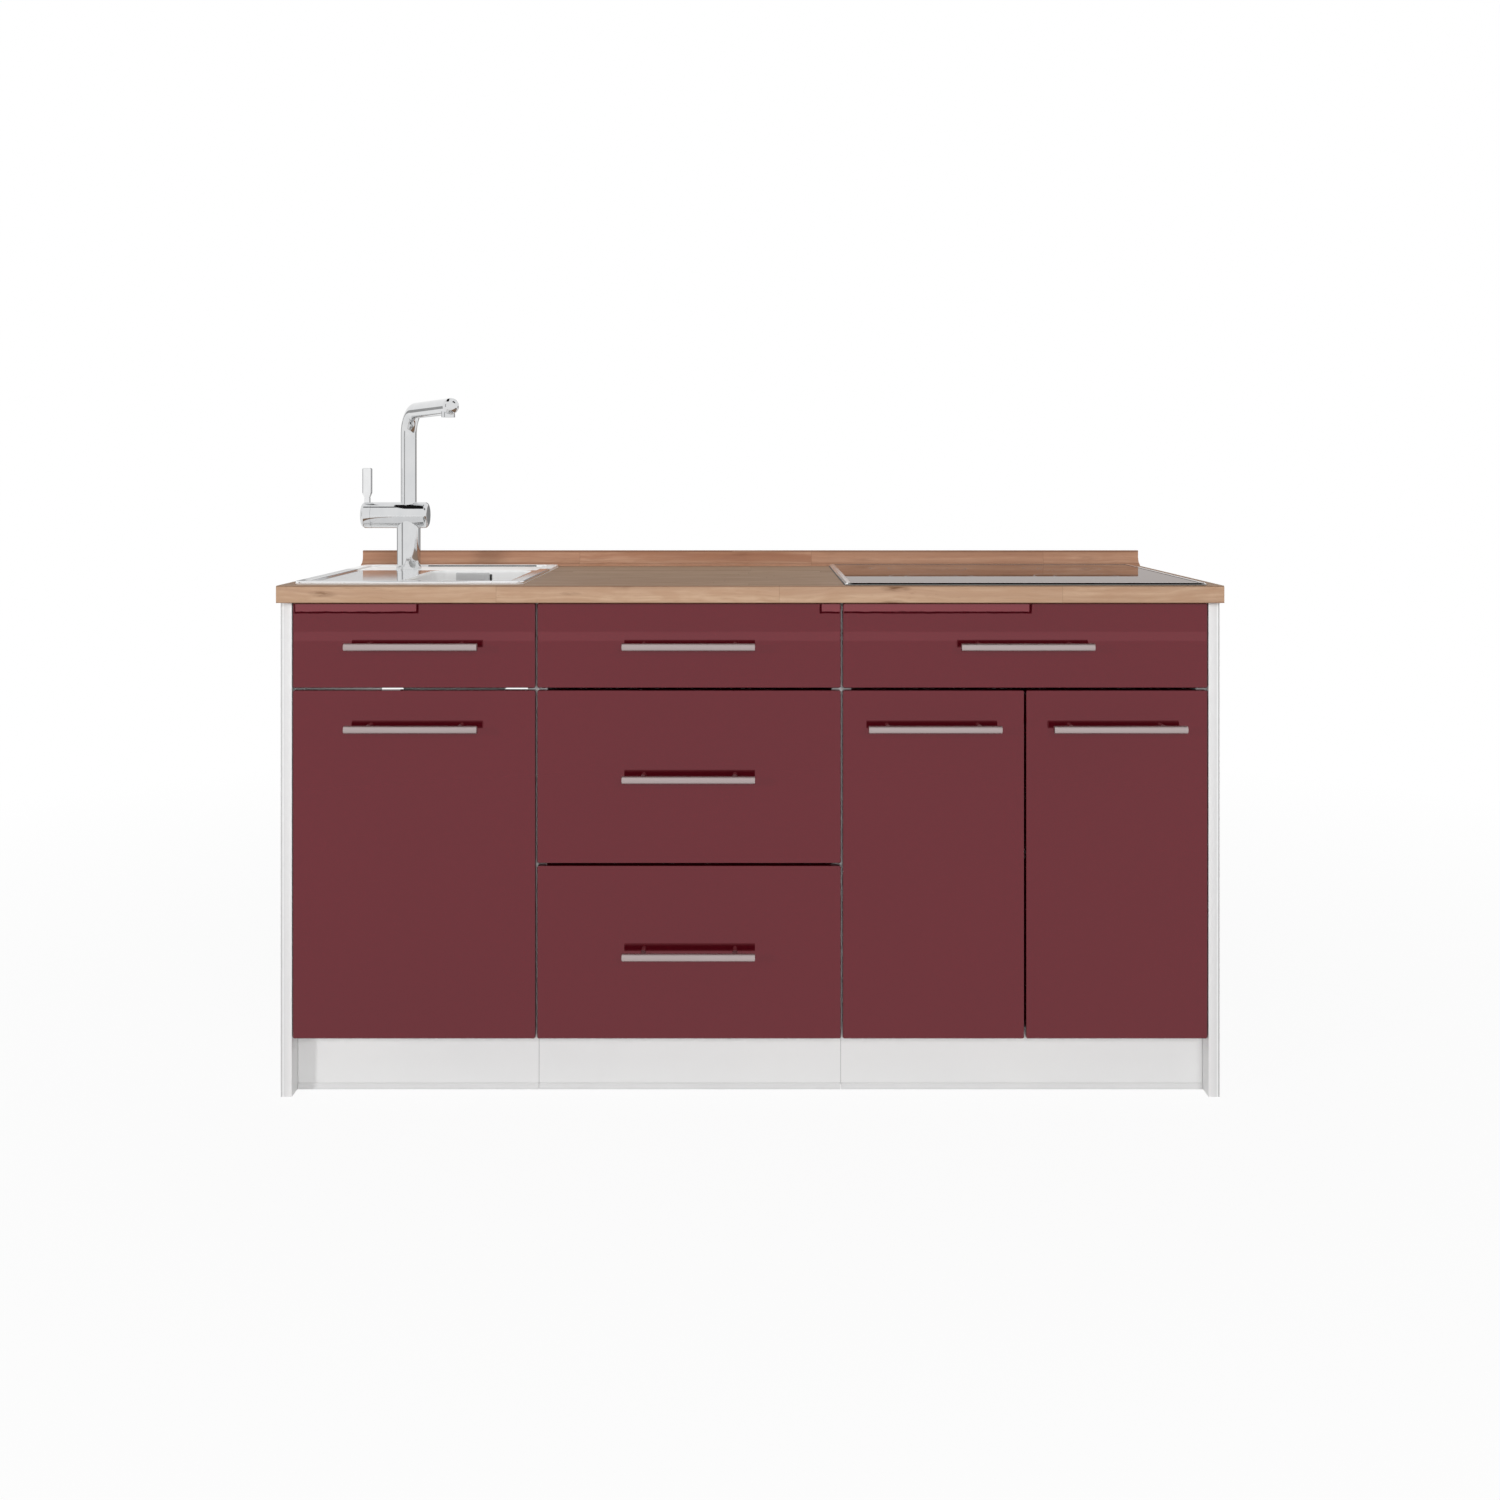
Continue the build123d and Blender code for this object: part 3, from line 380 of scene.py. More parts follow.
def bored_white():
    """White board with rows of shelf-pin holes, painted as dark discs of shade in place of real holes."""
    p = Paint("bored_white", grey(0.78), 0.42)
    _, y, z = p.split(p.spot())
    rise = p.math("FRACT", p.math("DIVIDE", z, HOLE_PITCH))
    rise = p.math("MULTIPLY", p.math("SUBTRACT", rise, 0.5), HOLE_PITCH)
    holes = 0.0
    for row in HOLE_ROWS:
        hole = p.math("LESS_THAN", p.away(p.math("SUBTRACT", y, row), rise), HOLE_R)
        holes = p.math("MAXIMUM", hole, holes)
    side = p.math("MAXIMUM", p.facing("+X"), p.facing("-X"))
    # The holes are painted as dark discs: painted shade, not real holes in the board.
    white = p.mix(p.math("MULTIPLY", holes, side), board_white(p), (0.05, 0.04, 0.03))
    return finish_board(p, white)


# The end panels' outer face, and the painted highlight and shade lines on their front edge: distance
# inward, half width and level
PANEL_OUTER_X = 0.768
PANEL_HIGHLIGHT_SHADE_LINES = ((0.0037, 0.0008, 0.93), (0.0014, 0.0014, 0.57))


def panel_white():
    """End panel: white board whose front edge is painted darker near its outer side, with a painted
    highlight line and a painted shade line where a rounded edge would catch light and shade.
    """
    p = Paint("panel_white", grey(0.78), 0.42)
    across = p.math("ABSOLUTE", p.split(p.spot())["X"])
    inward = p.math("SUBTRACT", PANEL_OUTER_X, across)
    # Painted shade across the front edge, darker towards the outer side; then a painted highlight line and
    # a painted shade line.
    edge = p.mix(p.span(inward, 0.004, 0.018, 0.0, 1.0), grey(0.72), (0.84, 0.83, 0.83))
    for centre, half, level in PANEL_HIGHLIGHT_SHADE_LINES:
        edge = p.mix(p.near(inward, centre, half), edge, grey(level))
    return finish_board(p, p.mix(p.facing("-Y"), board_white(p), edge))


def fibreboard():
    """Thin back board: white inside, bare brown fibre outside."""
    p = Paint("back_fibreboard", (0.3, 0.2, 0.12), 0.6)
    fibre = p.noise(420, 5.0, 0.7)
    brown = p.mix(p.spread(fibre), (0.20, 0.115, 0.060), (0.34, 0.21, 0.12))
    brown = p.mix(p.spread(p.noise(7), 0.0, 0.35), brown, (0.26, 0.16, 0.09))
    p.set("Base Color", p.mix(p.facing("-Y"), brown, grey(0.78)))
    p.set("Roughness", p.spread(fibre, 0.5, 0.7))
    p.bump(fibre, 0.0001)
    return p.mat


# Oak staves: width and length, and the share of each that a seam takes
STAVE_W, STAVE_L = 0.043, 0.46
SEAM_W, SEAM_L = 0.022, 0.0022

# How far rows, staves and their grain are shifted, the seeds for it, and how far the grain waves
ROW_SHIFT, RUN_SHIFT, DEPTH_SHIFT = 9.0, 7.0, 3.0
ROW_SEED, TONE_SEED, OTHER_SEED = 3.0, 0.0, 5.0
GRAIN_WAVE = 0.03

# Shares of the dark seam lines and of the painted shade along the arrises, and the knots: cells, reach
# within a cell, rarity, and their share on the top
SEAM_SHARE = 0.35
ARRIS_SHADE_SHARE = 0.5
KNOT_CELLS = (9, 40, 1)
KNOT_REACH = (0.04, 0.25)
KNOT_RARITY = 0.42
KNOT_ON_TOP = 0.35


def oak(name, tint, streak, knots, low_line, high_line):
    """Light oak staves with grain, pores and knots, and painted shade lines along the front's two arrises.
    """

    def shade(*rgb):
        return tuple(c * t for c, t in zip(rgb, tint))

    p = Paint(name, shade(0.5, 0.33, 0.21), 0.5, ior=1.45, specular_ior_level=0.08)
    x, y, z = p.split(p.spot())
    end = p.math("MAXIMUM", p.facing("+X"), p.facing("-X"))
    stay = p.math("SUBTRACT", 1.0, end)
    run = p.math("ADD", p.math("MULTIPLY", x, stay), p.math("MULTIPLY", y, end))
    across = p.math("ADD", p.math("MULTIPLY", y, stay), z)
    lane = p.math("DIVIDE", across, STAVE_W)
    row = p.math("FLOOR", lane)
    shift = p.math("MULTIPLY", p.white(p.join(row, ROW_SEED, 0.0)), ROW_SHIFT)
    piece = p.math("ADD", p.math("DIVIDE", run, STAVE_L), shift)
    stave = p.math("FLOOR", piece)
    tone = p.white(p.join(row, stave, TONE_SEED))
    other = p.white(p.join(stave, row, OTHER_SEED))

    # Grain, in each stave's own place
    place = p.join(
        p.math("ADD", run, p.math("MULTIPLY", tone, RUN_SHIFT)),
        p.math("ADD", across, p.math("MULTIPLY", p.noise((5, 9, 9), 2.0), GRAIN_WAVE)),
        p.math("MULTIPLY", other, DEPTH_SHIFT),
    )
    rings = p.noise((3.2, 150, 1), 4.0, 0.6, place)
    pores = p.noise((26, 1500, 1), 2.0, 0.6, place)
    streaks = p.noise((1.6, 46, 1), 3.0, 0.55, place)
    blotch = p.noise((17, 85, 1), 3.0, 0.55, place)
    flecks = p.noise((60, 420, 1), 2.0, 0.6, place)
    cells = p.node("TexVoronoi", {"Vector": p.stretched(place, KNOT_CELLS), "Scale": 1.0})
    knot = p.span(cells.outputs["Distance"], *KNOT_REACH, 1.0, 0.0)
    rare = p.math("GREATER_THAN", p.split(cells.outputs["Color"])["X"], KNOT_RARITY)
    knot = p.math("MULTIPLY", p.math("MULTIPLY", knot, rare), p.span(flecks, 0.35, 0.6, 0.3 * knots, knots))
    knot = p.math("MULTIPLY", knot, p.choose(p.facing("+Z"), 1.0, KNOT_ON_TOP))

    # Layers of colour: what they follow, the range over which they come in, their greatest share and shade
    wood = p.mix(p.span(rings, 0.32, 0.68, 0.0, 1.0), shade(0.47, 0.30, 0.195), shade(0.66, 0.47, 0.33))
    layers = (
        (streaks, 0.42, 0.62, streak, (0.37, 0.21, 0.135)),
        (blotch, 0.42, 0.62, 0.6, (0.42, 0.245, 0.15)),
        (tone, 0.0, 1.0, 0.42, (0.66, 0.475, 0.33)),
        (other, 0.0, 1.0, 0.34, (0.43, 0.265, 0.175)),
        (pores, 0.60, 0.72, 0.35, (0.27, 0.16, 0.09)),
        (flecks, 0.66, 0.76, 0.35, (0.30, 0.17, 0.10)),
    )
    for follows, start, full, share, color in layers:
        wood = p.mix(p.span(follows, start, full, 0.0, share), wood, shade(*color))
    wood = p.mix(knot, wood, shade(0.17, 0.085, 0.045))
    seam_w = p.math("LESS_THAN", p.math("FRACT", lane), SEAM_W)
    seam_l = p.math("LESS_THAN", p.math("FRACT", piece), SEAM_L)
    seam = p.math("MULTIPLY", p.math("MAXIMUM", seam_w, seam_l), SEAM_SHARE)
    wood = p.mix(seam, wood, shade(0.25, 0.15, 0.085))
    # Painted shade lines along the front's two arrises, below low_line and above high_line.
    arris_shade = p.math("MAXIMUM", p.math("LESS_THAN", z, low_line), p.math("GREATER_THAN", z, high_line))
    arris_shade = p.math("MULTIPLY", p.math("MULTIPLY", arris_shade, p.facing("-Y")), ARRIS_SHADE_SHARE)
    wood = p.mix(arris_shade, wood, shade(0.16, 0.09, 0.055))
    p.set("Base Color", wood)
    p.set("Roughness", p.spread(rings, 0.46, 0.60))
    p.bump(pores, 0.00012, 0.6)
    return p.mat


# Brush lines along X, along Z and every way
BRUSH_X = (12, 700, 700)
BRUSH_Z = (700, 700, 12)
BRUSH_EVEN = (300, 300, 300)


def brush_lines(p, stretch):
    return p.noise(stretch, 4.0, 0.65)


def brushed(name, color, rough_low, rough_high, stretch, ripple=0.00002):
    """Metal with fine brush lines along one way."""
    p = Paint(name, color, rough_low, metallic=1.0)
    lines = brush_lines(p, stretch)
    darker = tuple(0.92 * c for c in color)
    p.set("Base Color", p.mix(p.spread(lines), darker, color))
    wear = p.math("MULTIPLY", p.spread(p.noise(9)), 0.06)
    p.set("Roughness", p.math("ADD", p.spread(lines, rough_low, rough_high), wear))
    p.bump(lines, ripple)
    return p.mat


# Sink: where the bowl starts, the tap ledge's front, and the painted shade line along the step in the rim
# with its half sizes
BOWL_TOP_Z = DECK_Z - 0.0006
LEDGE_Y = 0.0985
RIM_STEP = (-0.520, 0.2225, DECK_Z + 0.0013)
RIM_STEP_HALF = (0.105, 0.0022, 0.0012)
STEEL_RIPPLE = 0.000006


def pressed_steel():
    """Sink steel: polished rim and deck with a painted shade line along the step at the back; satin bowl
    and tap ledge, with their base painted lighter as painted light.
    """
    p = Paint("basin_steel", grey(0.88), 0.1, metallic=1.0)
    place = p.split(p.spot())
    bowl = p.math("LESS_THAN", place["Z"], BOWL_TOP_Z)
    ledge = p.math("GREATER_THAN", place["Y"], LEDGE_Y)
    lines = brush_lines(p, BRUSH_X)
    base = p.mix(p.spread(lines), grey(0.82), (0.88, 0.88, 0.885))
    # The bowl and tap ledge get a lighter base colour: painted light.
    base = p.mix(p.math("MAXIMUM", bowl, ledge), base, (0.95, 0.95, 0.945))
    # A painted shade line along the step in the rim at the back.
    step = 1.0
    for value, centre, half in zip(place, RIM_STEP, RIM_STEP_HALF):
        step = p.math("MULTIPLY", p.near(value, centre, half), step)
    p.set("Base Color", p.mix(step, base, grey(0.14)))
    p.set("Metallic", p.choose(bowl, 1.0, 0.5))
    shine = p.math("ADD", p.spread(lines, 0.06, 0.13), p.math("MULTIPLY", ledge, 0.28))
    p.set("Roughness", p.math("ADD", shine, p.math("MULTIPLY", bowl, 0.34)))
    p.bump(lines, STEEL_RIPPLE)
    return p.mat


# Hob frame: where its sides start beside the glass, and the painted shade line along that edge
FRAME_INNER_X = 0.285
FRAME_SHADE_LINE_HALF = 0.0005


def frame_steel():
    """Hob frame: brushed steel, duller at its sides and painted lighter there as a painted highlight, with
    painted shade on the front bevel and painted shade lines beside the glass.
    """
    p = Paint("frame_steel", grey(0.80), 0.15, metallic=1.0)
    lines = brush_lines(p, BRUSH_X)
    base = p.mix(p.spread(lines), grey(0.78), grey(0.86))
    out = p.gap(p.split(p.spot())["X"], HOB_X)
    side = p.math("GREATER_THAN", out, FRAME_INNER_X)
    line = p.near(out, FRAME_INNER_X + FRAME_SHADE_LINE_HALF, FRAME_SHADE_LINE_HALF)
    # The sides' lighter base colour is a painted highlight.
    base = p.mix(side, base, grey(0.93))
    # The dark front bevel and the dark lines beside the glass are painted shade.
    p.set("Base Color", p.mix(p.math("MAXIMUM", p.facing("-Y"), line), base, (0.21, 0.20, 0.19)))
    p.set("Metallic", p.choose(side, 1.0, 0.45))
    p.set("Roughness", p.spread(lines, 0.10, 0.2))
    p.bump(lines, STEEL_RIPPLE)
    return p.mat


def smears(p):
    return p.noise((60, 60, 25), 5.0, 0.6)


def polished(p, smear, dark, light):
    """The colour of smeared polished plate."""
    return p.mix(p.span(smear, 0.35, 0.7, 0.0, 1.0), dark, light)


def tap_chrome():
    """Polished plate with faint smears and water marks."""
    p = Paint("tap_chrome", (0.71, 0.715, 0.72), 0.04, metallic=1.0)
    smear = smears(p)
    p.set("Base Color", polished(p, smear, (0.66, 0.67, 0.68), (0.71, 0.715, 0.72)))
    marks = p.span(p.noise(240, 2.0), 0.66, 0.74, 0.0, 0.05)
    p.set("Roughness", p.math("ADD", p.spread(smear, 0.02, 0.05), marks))
    return p.mat


# Lever: its middle, and where the painted shade on its sides starts and is full
LEVER_X = -0.7233
LEVER_SHADE = (0.0063, 0.0081)


def lever_chrome():
    """Polished lever with painted shade on its sides, on a base painted lighter than the tap's chrome as
    painted light.
    """
    p = Paint("lever_chrome", (0.82, 0.825, 0.83), 0.05, metallic=1.0)
    smear = smears(p)
    # The lever's base is painted lighter than the tap's chrome: painted light.
    base = polished(p, smear, (0.78, 0.785, 0.79), (0.86, 0.865, 0.87))
    out = p.gap(p.split(p.spot())["X"], LEVER_X)
    # Painted shade on the lever's sides.
    p.set("Base Color", p.mix(p.span(out, *LEVER_SHADE, 0.0, 0.75), base, (0.30, 0.30, 0.31)))
    p.set("Roughness", p.spread(smear, 0.03, 0.07))
    return p.mat


# Print on the hob's glass: zones as offset and radius, each with a smaller ring inside, and touch keys
ZONES_Y = 0.0125
ZONES = ((-0.135, -0.115, 0.072), (0.135, -0.115, 0.090), (-0.135, 0.115, 0.090), (0.135, 0.115, 0.072))
INNER_RING = 0.62
RING_HALF = 0.0007
KEY_Y = -0.245
KEY_XS = (-0.12, -0.08, -0.04, 0.0, 0.04, 0.08, 0.12)
KEY_R = 0.006


def black_glass():
    """Black ceramic glass with printed zone rings, touch keys and a fine dot screen."""
    p = Paint("hob_glass", (0.006, 0.006, 0.007), 0.012, ior=1.52)
    x, y, _ = p.split(p.spot())
    circles = [(dx, dy, r) for dx, dy, radius in ZONES for r in (radius, radius * INNER_RING)]
    circles += [(dx, KEY_Y, KEY_R) for dx in KEY_XS]
    print_mask = 0.0
    for dx, dy, radius in circles:
        reach = p.away(p.math("SUBTRACT", x, HOB_X + dx), p.math("SUBTRACT", y, ZONES_Y + dy))
        print_mask = p.math("MAXIMUM", p.near(reach, radius, RING_HALF), print_mask)
    speck = p.span(p.noise(1500, 1.0), 0.62, 0.7, 0.0, 1.0)
    base = p.mix(speck, (0.0055, 0.0055, 0.0065), (0.014, 0.014, 0.015))
    p.set("Base Color", p.mix(print_mask, base, (0.30, 0.30, 0.31)))
    smear = p.spread(p.noise(18, 4.0), 0.006, 0.018)
    p.set("Roughness", p.math("ADD", smear, p.math("MULTIPLY", print_mask, 0.2)))
    return p.mat


def coated(name, color, roughness, peel):
    """Powder coat or moulded plastic with a fine skin."""
    p = Paint(name, color, roughness)
    skin = p.noise(peel)
    lighter = tuple(min(1.0, 1.06 * c) for c in color)
    p.set("Base Color", p.mix(p.spread(p.noise(6)), color, lighter))
    p.set("Roughness", p.spread(skin, roughness - 0.06, roughness + 0.06))
    p.bump(skin, 0.00008)
    return p.mat


MATERIALS = {
    "front_gloss": front_gloss(),
    "carcass_white": carcass_white(),
    "worktop_oak": oak("worktop_oak", (1.0, 1.0, 1.0), 0.6, 1.0, 0.8109, 0.8354),
    "sink_steel": brushed("sink_steel", grey(0.88), 0.07, 0.15, BRUSH_X, STEEL_RIPPLE),
    "tap_chrome": tap_chrome(),
    "tap_brass": brushed("tap_brass", (0.62, 0.45, 0.20), 0.2, 0.32, (500, 500, 20)),
    "hob_glass": black_glass(),
    "tray_metal": coated("tray_metal", grey(0.62), 0.36, 700),
    "heater_ceramic": coated("heater_ceramic", (0.42, 0.39, 0.35), 0.85, 400),
    "handle_nickel": brushed("handle_nickel", (0.51, 0.43, 0.425), 0.36, 0.46, (8, 900, 900)),
    "hinge_nickel": brushed("hinge_nickel", (0.56, 0.55, 0.53), 0.18, 0.28, BRUSH_EVEN),
    "plastic_grey": coated("plastic_grey", grey(0.60), 0.45, 500),
}
SEAL_PLASTIC = coated("seal_plastic", grey(0.70), 0.4, 700)
JOINT_PLASTIC = coated("joint_plastic", grey(0.46), 0.4, 700)
RUBBER = coated("rubber", grey(0.02), 0.6, 900)
COVER_STEEL = brushed("cover_steel", (0.74, 0.74, 0.745), 0.4, 0.5, BRUSH_Z)
RED_DOT = coated("red_dot", (0.55, 0.01, 0.012), 0.25, 900)
BLUE_DOT = coated("blue_dot", (0.01, 0.03, 0.45), 0.25, 900)


def dress(mat, *names):
    for name in names:
        data = nodes[name].data
        data.materials.clear()
        data.materials.append(mat)


def dress_nodes():
    for sub in frame["record"]["subparts"]:
        dress(MATERIALS[sub["material_slot"]], sub["node"])
    dress(oak("strip_oak", (1.04, 0.905, 0.89), 1.0, 0.35, 0.0, 0.8638), "wall_strip")
    dress(fibreboard(), "back_panels")
    dress(coated("foot_plastic", (0.02, 0.02, 0.021), 0.45, 500), "levelling_feet")
    dress(pressed_steel(), "sink_basin")
    dress(frame_steel(), "hob_frame")
    dress(lever_chrome(), "tap_lever")
    dress(panel_white(), "end_panel_left", "end_panel_right")
    dress(bored_white(), "sink_unit_sides", "drawer_unit_sides", "hob_unit_sides")


SHARP_ANGLE = 32


def add_piece(name, bm, mat, body, smooth=True):
    """Make a piece from a bmesh, with its finish, on one of the bodies."""
    bmesh.ops.recalc_face_normals(bm, faces=bm.faces)
    mesh = bpy.data.meshes.new(name)
    bm.to_mesh(mesh)
    bm.free()
    if smooth:
        mesh.shade_smooth()
        mesh.set_sharp_from_angle(angle=math.radians(SHARP_ANGLE))
    mesh.materials.append(mat)
    piece = bpy.data.objects.new(name, mesh)
    scene.collection.objects.link(piece)
    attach(piece, body)


def facing_matrix(at, axis):
    """Places something drawn round Z so that it stands at a point and looks along an axis."""
    return Matrix.Translation(at) @ Vector(axis).to_track_quat("Z", "Y").to_matrix().to_4x4()


def add_loops(bm, loops, matrix):
    """Skin a row of loops of equal count, with its ends closed."""
    rows = [[bm.verts.new(matrix @ Vector(p)) for p in loop] for loop in loops]
    count = len(rows[0])
    for a, b in zip(rows, rows[1:]):
        for i in range(count):
            j = (i + 1) % count
            bm.faces.new((a[i], a[j], b[j], b[i]))
    bm.faces.new(rows[0][::-1])
    bm.faces.new(rows[-1])


def circle(radius, z, steps):
    angles = [2 * math.pi * i / steps for i in range(steps)]
    return [(radius * math.cos(angle), radius * math.sin(angle), z) for angle in angles]


def turned(bm, profile, at, axis, steps):
    """A turned piece from (radius, height) pairs."""
    add_loops(bm, [circle(r, z, steps) for r, z in profile], facing_matrix(at, axis))


# Screws: the head's profile as radius and height, and the cross with its reach, half width, depth and taper
SCREW_R = 0.0038
SCREW_H = 0.0012
SCREW_PROFILE = ((SCREW_R, 0), (SCREW_R, SCREW_H / 3), (SCREW_R * 0.8, SCREW_H))
SCREW_STEPS = 32
CROSS_L = 0.0021
CROSS_W = 0.00055
CROSS_DEPTH = 0.0009
CROSS_TAPER = 0.7


def cross_outline(z, scale):
    loop = []
    for i in range(SCREW_STEPS):
        angle = 2 * math.pi * (i + 0.5) / SCREW_STEPS
        c, s = abs(math.cos(angle)), abs(math.sin(angle))
        reach = max(min(CROSS_L / c, CROSS_W / s), min(CROSS_L / s, CROSS_W / c)) * scale
        loop.append((reach * math.cos(angle), reach * math.sin(angle), z))
    return loop


def screw(bm, at, axis):
    """A low cross-head screw."""
    head = [circle(r, z, SCREW_STEPS) for r, z in SCREW_PROFILE]
    cross = [cross_outline(SCREW_H, 1.0), cross_outline(SCREW_H - CROSS_DEPTH, CROSS_TAPER)]
    add_loops(bm, head + cross, facing_matrix(at, axis))


# Doors: where each one's carcass side, hinge cups and free edge lie, and which way it runs from its hinges
DOORS = {
    "sink_door": (-0.734, -0.727, -0.372, 1),
    "hob_left_door": (HOB_WALLS[0], 0.173, 0.428, 1),
    "hob_right_door": (HOB_WALLS[1], 0.727, 0.472, -1),
}
HINGE_ZS = (0.185, 0.575)
PLATE_T = 0.003
PLATE_Y = -0.212
PLATE_SCREW_Z = 0.018
FLANGE_Y = FRONT_BACK_Y + 0.0015
FLANGE_SCREW_Z = 0.022
BUMPER = ((0.0045, 0.0), (0.0045, 0.0008), (0.0036, 0.0014), (0.0015, 0.0016))
BUMPER_ZS = (0.117, 0.643)
BUMPER_STEPS = 24


def make_door_fittings():
    """Screws of the hinges' plates and cups, and bumpers at the doors' free edges."""
    plates = bmesh.new()
    for body, (wall, cup_x, free_x, way) in DOORS.items():
        cups = bmesh.new()
        bumpers = bmesh.new()
        for z in HINGE_ZS:
            for side in (-1, 1):
                screw(plates, (wall + way * PLATE_T, PLATE_Y, z + side * PLATE_SCREW_Z), (way, 0, 0))
                screw(cups, (cup_x, FLANGE_Y, z + side * FLANGE_SCREW_Z), (0, 1, 0))
        for z in BUMPER_ZS:
            turned(bumpers, BUMPER, (free_x, FRONT_BACK_Y, z), (0, 1, 0), BUMPER_STEPS)
        add_piece(f"{body}_cup_screws", cups, MATERIALS["hinge_nickel"], body)
        add_piece(f"{body}_bumpers", bumpers, SEAL_PLASTIC, body)
    add_piece("hinge_plate_screws", plates, MATERIALS["hinge_nickel"], "block")


# Shelf pins: their profile as radius and distance from the wall, and their places
PIN = (
    (0.0025, 0.0),
    (0.0025, 0.0035),
    (0.0042, 0.0036),
    (0.0042, 0.0045),
    (0.0025, 0.0048),
    (0.0025, 0.010),
    (0.002, 0.0105),
)
PIN_STEPS = 20
PIN_YS = (-0.180, 0.250)
PIN_Z = 0.3759


def make_shelf_pins():
    pins = bmesh.new()
    for wall, way in zip(HOB_WALLS, (1, -1)):
        for y in PIN_YS:
            turned(pins, PIN, (wall, y, PIN_Z), (way, 0, 0), PIN_STEPS)
    add_piece("shelf_pins", pins, MATERIALS["hinge_nickel"], "block")


# Section of the sealing profile on the plinth's foot: distance in front of the board, and height
SEAL_SECTION = (
    (0.0, 0.0098),
    (0.0014, 0.0098),
    (0.0020, 0.0092),
    (0.0022, 0.0075),
    (0.0018, 0.0060),
    (0.0018, 0.0036),
    (0.0024, 0.0020),
    (0.0036, 0.0007),
    (0.0036, 0.0001),
    (-0.0040, 0.0001),
    (-0.0040, 0.0046),
    (0.0, 0.0046),
)
PLINTHS = {"left": (-0.7495, -0.3505), "middle": (-0.3495, 0.1495), "right": (0.1505, 0.7495)}


def make_plinth_seals():
    for place, ends in PLINTHS.items():
        bm = bmesh.new()
        loops = [[(x, PLINTH_Y - d, z) for d, z in SEAL_SECTION] for x in ends]
        add_loops(bm, loops, Matrix.Identity(4))
        add_piece(f"plinth_seal_{place}", bm, SEAL_PLASTIC, "block", smooth=False)


# Plan of the profile that joins two plinth boards: across the joint, and behind the boards' faces
JOINT_PLAN = (
    (-0.0005, 0.0004),
    (0.0005, 0.0004),
    (0.0005, 0.0160),
    (0.0120, 0.0160),
    (0.0120, 0.0172),
    (-0.0120, 0.0172),
    (-0.0120, 0.0160),
    (-0.0005, 0.0160),
)
JOINT_XS = {"left": -0.350, "right": 0.150}
JOINT_ZS = (0.0102, 0.0915)


def make_plinth_joints():
    for place, x in JOINT_XS.items():
        bm = bmesh.new()
        loops = [[(x + u, PLINTH_Y + v, z) for u, v in JOINT_PLAN] for z in JOINT_ZS]
        add_loops(bm, loops, Matrix.Identity(4))
        add_piece(f"plinth_joint_{place}", bm, JOINT_PLASTIC, "block", smooth=False)


CORNER_STEPS = 6
MERGE_DISTANCE = 0.000001


def rounded_loop(centre_v, half_w, half_h, radius):
    """A rounded rectangle round a point on the upright axis."""
    loop = []
    for turn, (su, sv) in enumerate(((1, 1), (-1, 1), (-1, -1), (1, -1))):
        for i in range(CORNER_STEPS + 1):
            angle = math.pi / 2 * (turn + i / CORNER_STEPS)
            u = su * (half_w - radius) + radius * math.cos(angle)
            v = centre_v + sv * (half_h - radius) + radius * math.sin(angle)
            loop.append((u, v))
    return loop


def plate_mesh(name, loops, depth, bevel):
    """A plate with openings, from flat outlines; it lies in XY and is as thick as depth."""
    curve = bpy.data.curves.new(name, "CURVE")
    curve.dimensions = "2D"
    curve.fill_mode = "BOTH"
    curve.extrude = depth / 2 - bevel
    curve.bevel_depth = bevel
    curve.bevel_resolution = 2
    for loop in loops:
        spline = curve.splines.new("POLY")
        spline.points.add(len(loop) - 1)
        for point, (u, v) in zip(spline.points, loop):
            point.co = (u, v, 0, 1)
        spline.use_cyclic_u = True
    holder = bpy.data.objects.new(name, curve)
    mesh = bpy.data.meshes.new_from_object(holder)
    bpy.data.objects.remove(holder)
    bpy.data.curves.remove(curve)
    bm = bmesh.new()
    bm.from_mesh(mesh)
    bpy.data.meshes.remove(mesh)
    bmesh.ops.remove_doubles(bm, verts=bm.verts, dist=MERGE_DISTANCE)
    return bm


# Overflow: cover and dark shade strip as half width, half height and corner, slots in the cover, and bevels
OVERFLOW_X = -0.517
OVERFLOW_Z = 0.815
OVERFLOW_T = 0.0016
COVER = (0.031, 0.0200, 0.002)
COVER_BEVEL = 0.0004
COVER_SLOT = (0.01922, 0.0014, 0.0013)
COVER_SLOT_VS = (-0.0150, -0.0085, -0.0020)
OVERFLOW_SHADE_STRIP_X = -0.4834
OVERFLOW_SHADE_STRIP = (0.0016, 0.017, 0.001)
OVERFLOW_SHADE_STRIP_BEVEL = 0.0003


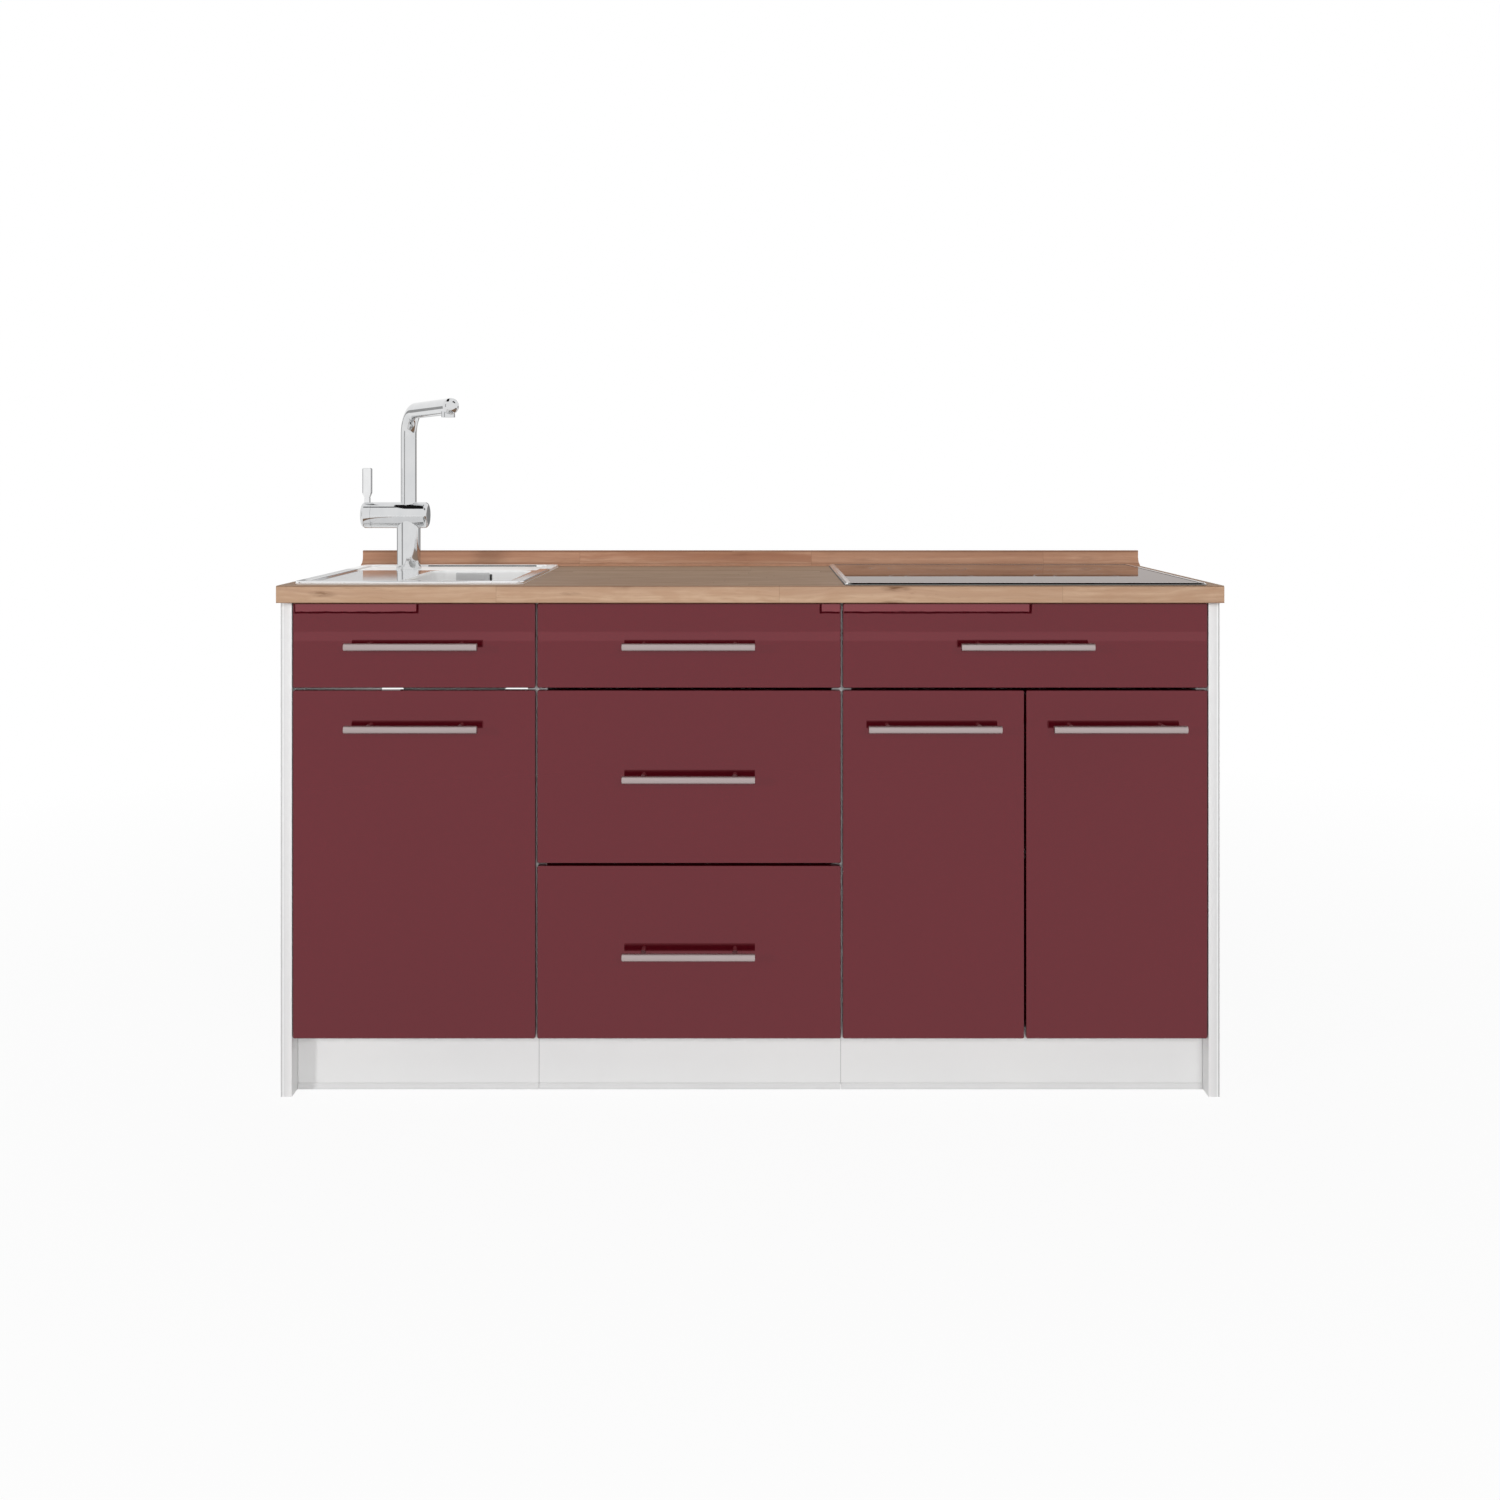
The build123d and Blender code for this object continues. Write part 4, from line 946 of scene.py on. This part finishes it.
def make_overflow():
    """The overflow's cover on the bowl's back wall, with a dark rubber strip beside it that stands in for
    shade at the cover's side.
    """
    cover_loops = [rounded_loop(0, *COVER)]
    cover_loops += [rounded_loop(v, *COVER_SLOT) for v in COVER_SLOT_VS]
    cover = plate_mesh("overflow_cover", cover_loops, OVERFLOW_T, COVER_BEVEL)
    # A dark rubber strip beside the cover, standing in for the shade at its side.
    shade_strip = plate_mesh("overflow_shade_strip", [rounded_loop(0, *OVERFLOW_SHADE_STRIP)], OVERFLOW_T, OVERFLOW_SHADE_STRIP_BEVEL)
    upright = Matrix.Rotation(math.radians(90), 4, "X")
    for bm, x in ((cover, OVERFLOW_X), (shade_strip, OVERFLOW_SHADE_STRIP_X)):
        at = Vector((x, BOWL_BACK_Y - OVERFLOW_T / 2, OVERFLOW_Z))
        bm.transform(Matrix.Translation(at) @ upright)
    add_piece("overflow_cover", cover, COVER_STEEL, "block")
    add_piece("overflow_shade_strip", shade_strip, RUBBER, "block")


# Hob's sealing tape: the frame's half sizes and corner, and how far the tape's edges lie outside it
HOB_HALF = (0.295, 0.2785)
HOB_CORNER_R = 0.008
TAPE_EDGES = (0.0010, 0.00025)
TAPE_T = 0.0008
TAPE_BEVEL = 0.0002


def make_hob_seal():
    """The sealing tape that shows as a dark line round the hob's frame."""
    half_w, half_d = HOB_HALF
    loops = [rounded_loop(0, half_w + out, half_d + out, HOB_CORNER_R + out) for out in TAPE_EDGES]
    bm = plate_mesh("hob_seal", loops, TAPE_T, TAPE_BEVEL)
    bm.transform(Matrix.Translation((HOB_X, HOB_Y, TOP_Z + TAPE_T / 2)))
    add_piece("hob_seal", bm, RUBBER, "block")


# Temperature dots on the end cap: their profile, distance to the sides and below the axis
DOT = ((0.0022, 0.0), (0.0022, 0.0003), (0.0015, 0.0006))
DOT_STEPS = 20
DOT_ASIDE = 0.0045
DOT_Z = BARREL_Z - 0.006
CAP_END_X = -0.7323


def make_tap_dots():
    for name, aside, mat in (("hot", -DOT_ASIDE, RED_DOT), ("cold", DOT_ASIDE, BLUE_DOT)):
        dot = bmesh.new()
        turned(dot, DOT, (CAP_END_X, TAP_Y + aside, DOT_Z), (-1, 0, 0), DOT_STEPS)
        add_piece(f"tap_dot_{name}", dot, mat, "mixer_cap")


make_camera()
make_studio()
dress_nodes()
make_door_fittings()
make_shelf_pins()
make_plinth_seals()
make_plinth_joints()
make_overflow()
make_hob_seal()
make_tap_dots()

scene.view_settings.view_transform = "Standard"
